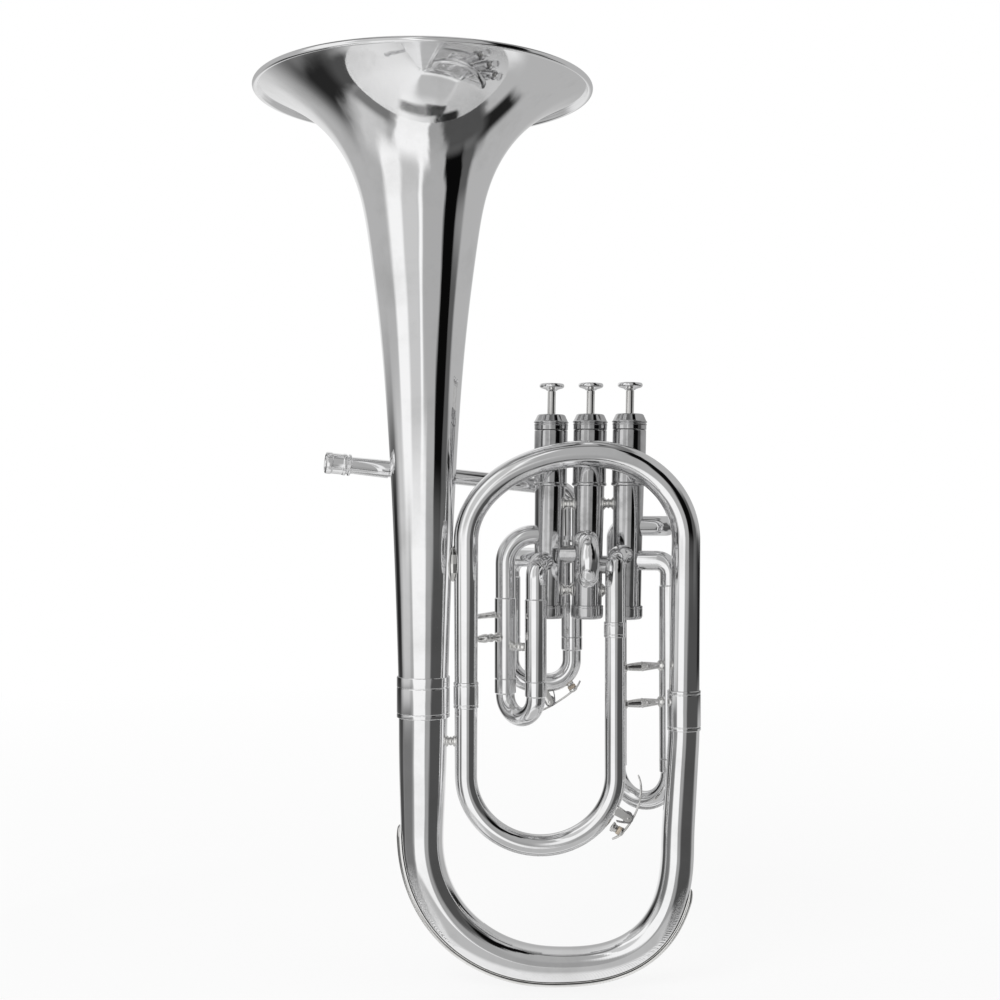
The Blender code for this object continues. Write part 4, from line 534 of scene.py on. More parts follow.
def makeBowGuard():
    # A D-shaped bar carried along the outside of the bottom bow: flat beside the bow, crowned outside, and
    # drawn in to a rounded point at both ends by the square root of the distance from the end.
    guard, line = bowGuard, bottomBowLine()
    marks = along(line)
    outward = leftOf(sampled(line, marks)[1])
    face = line + outward * (bottomBowRadius(marks / marks[-1]) + guard["gap"])[:, None]
    left = face[:, 0] < bottomBow["lowestX"]
    used = face[np.where(left, face[:, 2] < guard["leftHeight"], face[:, 2] < guard["rightHeight"])]
    run = evenly(used, guard["rings"])
    distance = along(run)
    fromEnd = np.minimum(distance, distance[-1] - distance)
    nose = np.sqrt(np.clip(fromEnd / guard["noseLength"], guard["noseTip"], 1.0))[:, None]
    turn = np.linspace(0, 2 * np.pi, guard["sides"], endpoint=False)
    across = np.cos(turn) * guard["width"] / 2
    crown = np.maximum(np.sin(turn), guard["crownFlat"]) * guard["crownShare"] + 1 - guard["crownShare"]
    crown = np.clip(crown * guard["thickness"], 0.0, guard["thickness"])
    normal = leftOf(sampled(run, distance)[1])
    rings = run[:, None] + normal[:, None] * (crown * nose ** guard["nosePower"])[..., None]
    rings = rings + np.array([0.0, 1.0, 0.0]) * (across * nose)[..., None]
    putMesh("bottomBowGuard", *capped(rings), nickel, "horn", ["bow_guard"])


makeBottomBow()
makeBowGuard()
makeArch("topBowTube", "top_bow", topBow, innerX, rightX)
makeArch("smallBowTube", "small_bow", smallBow, innerX, outletX)
ferrule("rightJointFerrule", "bottom_bow_ferrule", rightX, 154.2, 178.2, 10.0, 9.35, (156.4, 176.0))
ferrule("innerJointFerrule", "top_bow_ferrule", innerX, 167.4, 183.0, 7.5, 7.0, (169.3, 181.1))
ferrule("outletJointFerrule", "small_bow_ferrule", outletX, 209.9, 219.1, 6.75, 6.2, (211.6, 217.4))
print("scene: bows made")


# Sleeves, knuckles and slides

slides = {
    "first": dict(
        left=(16.9, 28.0), right=(35.3, 10.0), leftPort=271.0, rightPort=254.5, leftBend=17.6, rightBend=10.0,
        sleeveTop=231.5, sleeveEnd=182.3, bowBottom=159.5, leg=46.0, collar=9.0, node="first_valve_slide",
    ),
    "third": dict(
        left=(86.5, 40.5), right=(117.5, 17.0), leftPort=276.4, rightPort=255.2, bend=8.0, turnX=117.0,
        sleeveTop=239.8, sleeveEnd=134.6, bowBottom=106.6, leg=62.0, collar=8.1, node="third_valve_slide",
    ),
    "main": dict(
        left=(19.9, 49.0), right=(59.0, 49.0), port=256.6, bend=10.0, sleeveTop=244.0, sleeveEnd=206.3,
        inletTop=270.0, bowBottom=177.2, bowBend=14.8, leg=32.0, collar=8.0, node="main_tuning_slide",
    ),
    "second": dict(
        x=65.5, upperPort=268.0, lowerPort=246.2, sleeveEnd=-9.0, bowFront=-27.2, leg=21.5, collar=4.0,
        node="second_valve_slide",
    ),
}
sleeveRadius, tubeRadius, bowRadius, secondRadius = 6.6, 6.05, 5.8, 6.2
seatRadius = 8.8
slideFit = dict(
    legInset=0.9, gap=0.3, wall=0.5, lip=0.3, lipRun=0.15, edge=0.25, edgeRun=0.3, soft=0.12, steps=28,
)


def casingSeat(number, height):
    return valvePoint(number, height), valveAxis, seatRadius


def sleeveStations(sleeveLength, total):
    # the wider sleeve with a rolled lip at its open end, then the plain tube
    return [
        (0, sleeveRadius - slideFit["lip"]), (slideFit["lipRun"], sleeveRadius), (sleeveLength, sleeveRadius),
        (sleeveLength + 0.5, tubeRadius), (total, tubeRadius),
    ]


def sleeveTube(name, node, corners, bends, sleeveLength, number, height):
    line = bentLine(corners, bends)
    stations = sleeveStations(sleeveLength, along(line)[-1])
    surface = tube(line, stations, seats=(None, casingSeat(number, height)))
    putMesh(name, *surface, silver, "horn", [node])


def slideTube(name, body, slide, corners, bend, sleeve, bow):
    # thin legs that run in the sleeves, a collar under each sleeve, and the bow between the collars
    line = bentLine(corners, (bend, bend), slideFit["steps"])
    total = along(line)[-1]
    leg, edge, run = slide["leg"], slideFit["edge"], slideFit["edgeRun"]
    end = leg + slide["collar"]
    thin = sleeve - slideFit["legInset"]
    half = [
        (0, thin), (leg, thin), (leg + 0.02, sleeve - edge), (leg + run, sleeve), (end - run, sleeve),
        (end + 0.4, bow),
    ]
    stations = half + [(total - distance, radius) for distance, radius in reversed(half)]
    surface = tube(line, stations, slideFit["wall"], soft=slideFit["soft"])
    putMesh(name, *surface, silver, body, [slide["node"]])


def uprightSlide(name, body, slide):
    # two upright legs and a bow whose bends meet halfway, unless they are given a radius
    left, right, bottom = slide["left"], slide["right"], slide["bowBottom"]
    top = slide["sleeveEnd"] - slideFit["gap"] + slide["leg"]
    bend = slide.get("bowBend", np.hypot(*np.subtract(right, left)) / 2)
    corners = [(*left, top), (*left, bottom), (*right, bottom), (*right, top)]
    slideTube(name, body, slide, corners, bend, sleeveRadius, bowRadius)


def makeFirstSlide():
    slide = slides["first"]
    length = slide["sleeveTop"] - slide["sleeveEnd"]
    for side in ("left", "right"):
        port = slide[side + "Port"]
        corners = [(*slide[side], slide["sleeveEnd"]), (*slide[side], port), valvePoint(1, port)]
        name = f"first{side.capitalize()}Sleeve"
        sleeveTube(name, f"first_slide_{side}_sleeve", corners, (slide[side + "Bend"],), length, 1, port)
    uprightSlide("firstValveSlide", "first_slide", slide)


def makeSecondSlide():
    # both sleeves and the slide lie level, towards the player
    slide = slides["second"]
    x, upper, lower, front = slide["x"], slide["upperPort"], slide["lowerPort"], slide["bowFront"]
    for side, port in (("upper", upper), ("lower", lower)):
        line = np.array([[x, slide["sleeveEnd"], port], [x, valveFoot[2][1], port]])
        lip = [(0, secondRadius - slideFit["lip"]), (slideFit["lipRun"], secondRadius)]
        surface = tube(line, lip + [(along(line)[-1], secondRadius)], seats=(None, casingSeat(2, port)))
        putMesh(f"second{side.capitalize()}Sleeve", *surface, silver, "horn", [f"second_slide_{side}_sleeve"])
    back = slide["sleeveEnd"] - slideFit["gap"] + slide["leg"]
    corners = [(x, back, upper), (x, front, upper), (x, front, lower), (x, back, lower)]
    bend, bow = (upper - lower) / 2, secondRadius - 0.3
    slideTube("secondValveSlide", "second_slide", slide, corners, bend, secondRadius, bow)


def makeThirdSlide():
    slide = slides["third"]
    left, right, turnX, low = slide["left"], slide["right"], slide["turnX"], slide["sleeveEnd"]
    leftPort, rightPort = slide["leftPort"], slide["rightPort"]
    inlet = valvePoint(3, leftPort)
    turn = (left[1] - inlet[1]) / 2
    corners = [(*left, low), (*left, leftPort), (turnX, left[1], leftPort)]
    corners += [(turnX, inlet[1], leftPort), inlet]
    length = slide["sleeveTop"] - low
    bends = (slide["bend"], turn, turn)
    sleeveTube("thirdLeftSleeve", "third_slide_left_sleeve", corners, bends, length, 3, leftPort)
    corners = [(*right, low), (*right, rightPort), valvePoint(3, rightPort)]
    sleeveTube("thirdRightSleeve", "third_slide_right_sleeve", corners, bends[:1], length, 3, rightPort)
    uprightSlide("thirdValveSlide", "third_slide", slide)


def makeMainSlide():
    # the outlet sleeve bends into the first valve, and the inlet sleeve narrows to a neck round the leadpipe
    slide = slides["main"]
    left, low, port = slide["left"], slide["sleeveEnd"], slide["port"]
    corners = [(*left, low), (*left, port), valvePoint(1, port)]
    length = slide["sleeveTop"] - low
    sleeveTube("mainOutletSleeve", "main_slide_outlet_sleeve", corners, (slide["bend"],), length, 1, port)
    neck, top, bore = leadpipe["radius"] + 0.35, slide["inletTop"], sleeveRadius - 0.6
    line = [
        (neck + 0.6, top), (neck + 0.6, top - 2.6), (sleeveRadius, top - 3.8), (sleeveRadius, low),
        (bore, low), (bore, top - 4.6), (neck, top - 4.2), (neck, top),
    ]
    surface = lathe(softProfile(line, 0.2, True), (*slide["right"], 0), sides=48, closed=True)
    putMesh("mainInletSleeve", *surface, silver, "horn", ["main_slide_inlet_sleeve"])
    uprightSlide("mainTuningSlide", "main_slide", slide)


knuckle = dict(radius=5.6, heights=(259.0, 252.5), ringsFromAxis=(4.0, 8.6, 10.2))
outlet = dict(radius=6.0, foot=214.65, height=259.0, bend=11.0)


def makeTubesBetweenValves():
    # short tubes from one valve's axis to the next, cut to the casings, and the elbow down to the small bow
    for first, height in zip((1, 2), knuckle["heights"]):
        line = np.array([valvePoint(first, height), valvePoint(first + 1, height)])
        total = along(line)[-1]
        near = knuckle["ringsFromAxis"]
        distances = [*near, *(total - distance for distance in reversed(near))]
        stations = [(distance, knuckle["radius"]) for distance in distances]
        surface = tube(line, stations, seats=(casingSeat(first, height), casingSeat(first + 1, height)))
        name = f"knuckle{first}To{first + 1}"
        putMesh(name, *surface, shadedCasingSilver, "horn", [f"knuckle_{first}_to_{first + 1}"])
    height = outlet["height"]
    corners = [(outletX, 0, outlet["foot"]), (outletX, 0, height), valvePoint(3, height)]
    line = bentLine(corners, (outlet["bend"],))
    stations = [(0, outlet["radius"]), (along(line)[-1], outlet["radius"])]
    surface = tube(line, stations, seats=(None, casingSeat(3, height)))
    putMesh("outletElbow", *surface, silver, "horn", ["valve_outlet_elbow"])


# Leadpipe and mouthpiece receiver

leadpipe = dict(
    radius=4.75, mouth=(-92.5, 10.9, 315.1), corner=(59.0, 49.0, 299.3), lower=264.0, bend=10.0,
    receiverLength=39.0, gap=0.3,
)
receiver = dict(
    collarRadius=6.6, collarLength=12.6, tubeRadius=5.1, endRadius=5.5,
    bore=4.6, boreTaper=0.45, boreDepth=22.0,
)


def leadpipeFrame():
    mouth, corner = np.array(leadpipe["mouth"]), np.array(leadpipe["corner"])
    return mouth, corner, (corner - mouth) / np.linalg.norm(corner - mouth)


def makeLeadpipe():
    mouth, corner, ahead = leadpipeFrame()
    start = mouth + ahead * (leadpipe["receiverLength"] + leadpipe["gap"])
    line = bentLine([start, corner, (corner[0], corner[1], leadpipe["lower"])], (leadpipe["bend"],), 28)
    surface = tube(line, [(0, leadpipe["radius"]), (along(line)[-1], leadpipe["radius"])])
    putMesh("leadpipeTube", *surface, silver, "horn", ["leadpipe"])


def makeReceiver():
    # the mouthpiece socket turned about the leadpipe's line, measured inwards from its mouth
    mouth, _, ahead = leadpipeFrame()
    bore, end = receiver["bore"], leadpipe["receiverLength"]
    collar, wide, plain = receiver["collarLength"], receiver["collarRadius"], receiver["tubeRadius"]
    line = [
        (plain + 0.9, 0.0), (wide - 0.1, 0.5), (wide, 1.6), (wide, 3.6), (wide - 0.35, 4.0),
        (wide - 0.35, 10.4), (wide, 10.9), (wide, collar), (plain + 0.35, collar + 0.6),
        (plain + 0.35, collar + 1.1), (wide, collar + 1.5), (wide, collar + 2.6), (plain, collar + 3.3),
        (receiver["endRadius"], end), (leadpipe["radius"] - 0.6, end),
        (bore - receiver["boreTaper"], receiver["boreDepth"]), (bore, 0.9), (bore + 0.5, 0.0),
    ]
    surface = lathe(softProfile(line, 0.3, True), mouth, ahead, closed=True)
    putMesh("mouthpieceReceiver", *surface, silver, "horn", ["mouthpiece_receiver"])


makeFirstSlide()
makeSecondSlide()
makeThirdSlide()
makeMainSlide()
makeTubesBetweenValves()
makeLeadpipe()
makeReceiver()
print("scene: slides and leadpipe made")


# Valves, in profiles of (radius, height above the casing's foot)

valve = dict(
    casingRadius=9.0, bore=8.6, casingLength=76.0, barrelRadius=10.3, barrelLength=33.5, beadRadius=10.7,
    capHeight=9.5, capRadius=10.5, crownRadius=8.6, skirt=4.7, stemRadius=2.55, stemFoot=111.3, stroke=14.5,
    buttonRadius=7.7, buttonHeight=4.4, bottomRadius=10.0, bottomTop=1.5, bottomLow=-7.0, gap=0.3,
)
barrelTop = valve["casingLength"] + valve["barrelLength"]
capSeat = barrelTop + valve["gap"]
buttonFoot = capSeat + valve["capHeight"] + valve["stroke"] + valve["gap"]


def casingLine():
    # the plain casing, a bead and the wider barrel above it
    casing, barrel, bead = (valve[part + "Radius"] for part in ("casing", "barrel", "bead"))
    bore, foot, top = valve["bore"], valve["casingLength"], barrelTop
    return [
        (bore, top), (barrel - 0.2, top), (barrel, top - 0.5), (barrel, foot + 1.3), (bead, foot + 0.7),
        (bead, foot - 0.5), (casing + 0.05, foot - 1.3), (casing, foot - 1.8), (casing, 0.0), (bore, 0.0),
    ]


def topCapLine():
    # a stepped crown over a ridged skirt, with a thread down into the casing
    cap, thread, inside = valve["capRadius"], valve["bore"] - 0.3, valve["bore"] - 1.2
    crown, ridge, hole = capSeat + valve["capHeight"], capSeat + valve["skirt"], valve["stemRadius"] + 0.3
    return [
        (hole, crown), (valve["crownRadius"] - 0.7, crown), (valve["crownRadius"], crown - 0.5),
        (cap - 0.15, ridge + 0.5), (cap + 0.3, ridge + 0.25), (cap + 0.3, ridge - 0.35),
        (cap - 0.25, ridge - 0.6), (cap - 0.25, ridge - 1.0), (cap + 0.1, ridge - 1.3),
        (cap + 0.1, ridge - 1.8), (cap - 0.1, ridge - 2.1), (cap - 0.1, capSeat), (thread, capSeat),
        (thread, capSeat - 3.3), (inside, capSeat - 3.3), (inside, crown - 4.3), (hole, crown - 4.3),
    ]


def bottomCapLine():
    # a cup with a groove near its top edge, a rounded floor and a vent in its middle
    radius, top, low, inside, vent = valve["bottomRadius"], valve["bottomTop"], valve["bottomLow"], 9.3, 1.6
    return [
        (inside, top), (radius - 0.1, top), (radius, top - 0.3), (radius, top - 1.1),
        (radius - 0.2, top - 1.35), (radius, top - 1.6), (radius, low + 2.2), (radius - 0.5, low + 0.9),
        (radius - 1.8, low + 0.25), (radius - 3.5, low), (vent, low), (vent, low + 1.0), (inside, low + 1.0),
    ]


def stemLine():
    # a foot on the piston, the stem, and a pin that holds the button
    foot, top, stem, base, pin = valve["stemFoot"], buttonFoot - valve["gap"], valve["stemRadius"], 5.2, 1.6
    return [
        (0, foot), (base, foot), (base, foot + 3.3), (stem + 0.3, foot + 3.4), (stem, foot + 3.9),
        (stem, top - 0.2), (stem - 0.2, top), (pin, top), (pin, top + 2.2), (0, top + 2.2),
    ]


def buttonLine():
    # a dished top, a rounded rim and a boss down to the stem, from the hole up the outside to the dish
    low, radius, height = buttonFoot, valve["buttonRadius"], valve["buttonHeight"]
    top = low + height
    return [
        (0, low + 2.5), (1.9, low + 2.5), (1.9, low), (3.2, low), (3.75, low + 0.7),
        (radius * 0.9, top - height * 0.62), (radius * 0.99, top - height * 0.46),
        (radius, top - height * 0.26), (radius * 0.95, top - 0.25), (radius * 0.87, top),
        (radius * 0.80, top - 0.25), (radius * 0.72, top - 0.75), (radius * 0.4, top - 1.0), (0, top - 1.05),
    ]


def makeValves():
    for number in (1, 2, 3):
        press = f"valve_{number}"
        rows = (
            ("Casing", "casing", casingLine(), shadedCasingSilver, "horn", True, 0.25, 64),
            ("TopCap", "top_cap", topCapLine(), shadedCasingSilver, "horn", True, 0.18, 64),
            ("BottomCap", "bottom_cap", bottomCapLine(), shadedCasingSilver, "horn", True, 0.3, 64),
            ("Stem", "stem", stemLine(), nickel, press, False, 0.2, 40),
            ("Button", "finger_button", buttonLine(), silver, press, False, 0.35, 64),
        )
        for piece, node, line, material, body, closed, soft, sides in rows:
            surface = lathe(softProfile(line, soft, closed), valveFoot[number], valveAxis, sides, closed)
            putMesh(f"valve{number}{piece}", *surface, material, body, [f"valve_{number}_{node}"])
        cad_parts[f"valve_{number}_piston"].data.materials[0] = pistonMetal
        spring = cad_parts[f"valve_{number}_spring"]
        spring.data.materials[0] = springSteel
        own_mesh(spring)


makeValves()
print("scene: valves made")


# Braces, in profiles of (radius, share of the way from the near tube to the far one)

braceShape = {
    "casing": (
        (4.3, -0.10), (4.3, 0.04), (3.3, 0.16), (2.5, 0.30), (2.5, 0.38), (3.1, 0.44),
        (3.1, 0.56), (2.5, 0.62), (2.5, 0.70), (3.3, 0.84), (4.3, 0.96), (4.3, 1.10),
    ),
    "third": (
        (3.4, -0.10), (3.4, 0.03), (1.9, 0.07), (2.3, 0.20), (2.75, 0.40), (2.75, 0.44),
        (2.1, 0.455), (3.0, 0.475), (3.0, 0.505), (2.1, 0.52), (2.75, 0.54), (2.75, 0.58),
        (2.2, 0.80), (1.8, 0.93), (3.4, 0.97), (3.4, 1.10),
    ),
    "bead": (
        (3.0, -0.10), (3.0, 0.05), (1.5, 0.13), (2.1, 0.24), (2.7, 0.40), (2.7, 0.50),
        (2.0, 0.60), (2.6, 0.66), (2.6, 0.72), (1.5, 0.82), (3.0, 0.95), (3.0, 1.10),
    ),
    "short": (
        (3.3, -0.20), (3.3, 0.10), (2.2, 0.30), (2.7, 0.42),
        (2.7, 0.58), (2.2, 0.70), (3.3, 0.90), (3.3, 1.20),
    ),
    "rod": (
        (2.6, -0.06), (2.6, 0.03), (1.6, 0.07), (1.7, 0.40),
        (1.9, 0.60), (2.2, 0.90), (2.6, 0.97), (2.6, 1.06),
    ),
}
casingBraces = dict(rises=(64.3, 10.8), surface=9.0, soft=0.4)
tuningRod = dict(height=221.0, offMiddle=2.6)
firstLeft, firstRight = slides["first"]["left"], slides["first"]["right"]
thirdRight = slides["third"]["right"]
# piece, node, ends, height, radius of the tube at either end, shape
tubeBraces = (
    ("slideBeadBrace", "slide_bead_brace", (innerX, 0.0), firstLeft, 208.0, 6.8, 6.6, "bead"),
    ("firstSlideSpool", "first_slide_spool", firstLeft, firstRight, 202.5, 6.6, 6.6, "bead"),
    ("thirdUpperBrace", "third_slide_upper_brace", (outletX, 0.0), thirdRight, 191.5, 6.1, 6.6, "third"),
    ("thirdLowerBrace", "third_slide_lower_brace", (outletX, 0.0), thirdRight, 169.4, 6.2, 6.6, "third"),
    ("lowerBellBrace", "lower_bell_brace", (bellX, 0.0), (innerX, 0.0), 147.6, 14.1, 6.85, "short"),
)


def spool(start, end, near, far, shape, soft=0.3):
    # a turned brace between two points, its shape running from the near surface to the far one
    start, end = np.asarray(start, float), np.asarray(end, float)
    length = np.linalg.norm(end - start)
    profile = [(radius, near + (length - near - far) * share) for radius, share in braceShape[shape]]
    profile = softCorners([(0, profile[0][1])] + profile + [(0, profile[-1][1])], soft)
    return lathe(profile, start, end - start, 40)


def makeBraces():
    surface, soft = casingBraces["surface"], casingBraces["soft"]
    spools = []
    for neighbour in (1, 3):
        for rise in casingBraces["rises"]:
            start, end = (valvePoint(number, casingFoot + rise) for number in (2, neighbour))
            spools.append(spool(start, end, surface, surface, "casing", soft))
    putMesh("casingSpools", *joined(*spools), nickel, "horn")
    for name, node, start, end, height, near, far, shape in tubeBraces:
        surface = spool((*start, height), (*end, height), near, far, shape)
        putMesh(name, *surface, nickel, "horn", [node])
    # the rod runs level, a little beside the line between the middles of its two tubes
    start = np.array([innerX, 0.0, tuningRod["height"]])
    end = np.array([*slides["main"]["left"], tuningRod["height"]])
    beside = np.cross(upward, end - start) / np.linalg.norm(end - start) * tuningRod["offMiddle"]
    surface = spool(start + beside, end + beside, sleeveRadius, sleeveRadius, "rod")
    putMesh("tuningSlideRod", *surface, nickel, "horn", ["tuning_slide_rod"])


for node in ("upper_bell_flange", "leadpipe_flange"):
    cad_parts[node].data.materials[0] = nickel
makeBraces()
print("scene: braces made")


# Water keys

waterKeys = {
    "small": dict(
        node="small_bow_water_key", place=(90.2, 0.0, 101.8), slope=238.7, side=-1, arm=9.5,
        body="small_bow_key", tube="horn",
    ),
    "main": dict(
        node="main_slide_water_key", place=(45.2, 49.0, 165.4), slope=31.1, side=1, arm=16.5,
        body="main_slide_key", tube="main_slide",
    ),
}
keyParts = dict(
    finger=25.0, thickness=1.1, hub=2.6, bore=1.1, pin=0.8, halfWidth=3.05, cup=2.9, cork=2.6,
    nipple=3.0, nippleBore=1.3, ear=2.1, earReach=9.5, earMiddle=3.95, earHalf=0.53,
    wire=0.34, springStart=2.75, turns=3.15,
    # half widths of the lever at shares of its length from the finger tip
    widths=(
        (0.0, 0.35), (0.05, 1.7), (0.14, 2.75), (0.3, 2.6), (0.45, 1.9),
        (0.62, 1.6), (0.78, 1.9), (0.9, 2.3), (0.97, 1.7), (1.0, 0.5),
    ),
)


def keyAxes(key):
    # the lever's direction to its cork, the direction away from the tube, and the pin's
    slope = np.radians(key["slope"])
    arm, pin = np.array([np.cos(slope), 0.0, np.sin(slope)]), np.array([0.0, key["side"], 0.0])
    return arm, np.cross(pin, arm), pin


def onKey(key, points):
    return np.array(key["place"]) + np.asarray(points, float) @ np.stack(keyAxes(key))


def keyLever(key):
    # a strip with a rounded section carried along the lever's bent line, its width following the shares
    arm, finger = key["arm"], keyParts["finger"]
    bends = [
        (-finger, -7.8, 0), (-finger * 0.88, -4.2, 0), (-finger * 0.68, -0.8, 0), (-finger * 0.4, 1.8, 0),
        (-3, 2.9, 0), (3, 3.0, 0), (arm * 0.75, 2.5, 0), (arm + 3, 1.2, 0), (arm + 6.5, -1.2, 0),
    ]
    line = evenly(softCorners(bends, 4.0, 8), 90)
    share = np.linspace(0, 1, len(line))
    width = runningMean(np.interp(share, *np.transpose(keyParts["widths"])), 3, mode="edge")[:, None]
    ahead = sampled(line, along(line))[1]
    normal = np.stack((-ahead[:, 1], ahead[:, 0], 0 * share), axis=1)
    turn = np.linspace(0, 2 * np.pi, 28, endpoint=False)
    across, up = (np.sign(wave) * np.abs(wave) ** 0.55 for wave in (np.cos(turn), np.sin(turn)))
    thick = keyParts["thickness"] / 2 * np.clip(width, 0.3, 1.0)
    crown = (1 - across**2) * 0.35
    rings = line[:, None] + normal[:, None] * (thick * up + width * 0.12 * crown)[..., None]
    rings[..., 2] += width * across
    points, quads, fans = capped(rings)
    return onKey(key, points), quads, fans


def keyTurned(key, line, foot, axis, closed=False, soft=0.2, sides=48):
    return lathe(softProfile(line, soft, closed), onKey(key, foot), keyAxes(key)[axis], sides, closed)


def keyEar(key, middle):
    # a rounded plate: its outline in rings across the thickness, drawn in at both faces
    radius, reach, half = keyParts["ear"], keyParts["earReach"], keyParts["earHalf"]
    turn = np.linspace(np.radians(-8), np.radians(188), 18)
    arc = np.stack((radius * np.cos(turn), radius * np.sin(turn)), axis=1)
    outline = np.concatenate((arc, [(-radius * 1.3, -reach), (0, -reach - 0.6), (radius * 1.3, -reach)]))
    centre = np.array([0.0, -2.0])
    rings = []
    for share, height in ((0.86, -1.0), (0.97, -0.92), (1.0, -0.6), (1.0, 0.6), (0.97, 0.92), (0.86, 1.0)):
        flat = centre + (outline - centre) * share
        rings.append(np.column_stack((flat, np.full(len(flat), middle + height * half))))
    points = np.concatenate(rings + [[(*centre, middle - half), (*centre, middle + half)]])
    return onKey(key, points), gridFaces(len(rings), len(outline), False), poleFans(len(rings), len(outline))


def keySpring(key, side):
    # a wire wound about three times round the hub, its free end reaching down to the tube
    wire, full = keyParts["wire"], 2 * np.pi
    radius = keyParts["hub"] + wire + 0.05
    turn = np.linspace(0, keyParts["turns"] * full, 130)
    height = side * (keyParts["springStart"] - turn / full * 0.36)
    coil = np.stack((radius * np.sin(turn), radius * np.cos(turn), height), axis=1)
    leg = coil[-1] + np.linspace(0.4, 5.0, 8)[:, None] * np.array([np.cos(turn[-1]), -np.sin(turn[-1]), 0.0])
    leg = leg + np.linspace(0, 1, 8)[:, None] ** 2 * np.array([0.0, -2.4, 0.0])
    line = onKey(key, np.concatenate((coil, leg)))
    return rod(line, [(0, wire), (along(line)[-1], wire)], 12, reference=keyAxes(key)[2] + (0.1, 0.0, 0.3))


def makeWaterKey(name):
    # the lever with its hub and cork cup, the cork, the ears with their pin and nipple, and two springs
    key = waterKeys[name]
    bore, hub, wide, cup = (keyParts[part] for part in ("bore", "hub", "halfWidth", "cup"))
    pad, pin, nipple, hole = (keyParts[part] for part in ("cork", "pin", "nipple", "nippleBore"))
    half, tip = keyParts["earMiddle"] + keyParts["earHalf"], (key["arm"], 0, 0)
    hubLine = [
        (bore, -wide), (hub - 0.2, -wide), (hub, -wide + 0.2), (hub, -wide + 0.4), (hub - 0.25, -wide + 0.5),
        (hub - 0.25, wide - 0.5), (hub, wide - 0.4), (hub, wide - 0.2), (hub - 0.2, wide), (bore, wide),
    ]
    cupLine = [
        (0, 2.95), (1.5, 2.8), (2.35, 2.3), (cup - 0.1, 1.7), (cup, 1.5), (cup, 0.4), (cup - 0.35, 0.4),
        (cup - 0.4, 1.2), (0, 1.2),
    ]
    padLine = [(0, 1.1), (2.3, 1.1), (2.4, 0.2), (pad, 0.0), (pad, -1.4), (pad - 0.25, -1.7), (0, -1.7)]
    pinLine = [
        (0, -half - 0.55), (0.9, -half - 0.45), (1.35, -half - 0.1), (1.35, -half + 0.05), (pin, -half + 0.1),
        (pin, half + 0.25), (pin - 0.25, half + 0.4), (0, half + 0.45),
    ]
    nippleLine = [
        (hole, -2.0), (nipple - 0.9, -2.0), (nipple - 0.7, -2.2), (nipple - 0.6, -3.4), (nipple, -4.2),
        (nipple + 0.1, -5.4), (hole, -5.6),
    ]
    lever = joined(
        keyLever(key), keyTurned(key, hubLine, (0, 0, 0), 2, True, 0.1), keyTurned(key, cupLine, tip, 1),
    )
    putMesh(f"{name}KeyLever", *lever, nickel, key["body"], [key["node"]])
    putMesh(f"{name}KeyCork", *keyTurned(key, padLine, tip, 1), cork, key["body"], [key["node"] + "_cork"])
    mount = joined(
        keyEar(key, keyParts["earMiddle"]), keyEar(key, -keyParts["earMiddle"]),
        keyTurned(key, pinLine, (0, 0, 0), 2, False, 0.1, 32), keyTurned(key, nippleLine, tip, 1, True),
    )
    putMesh(f"{name}KeyMount", *mount, nickel, key["tube"])
    putMesh(f"{name}KeySpring", *joined(keySpring(key, 1), keySpring(key, -1)), springSteel, key["tube"])


makeWaterKey("small")
makeWaterKey("main")
print("scene: water keys made")


# Studio

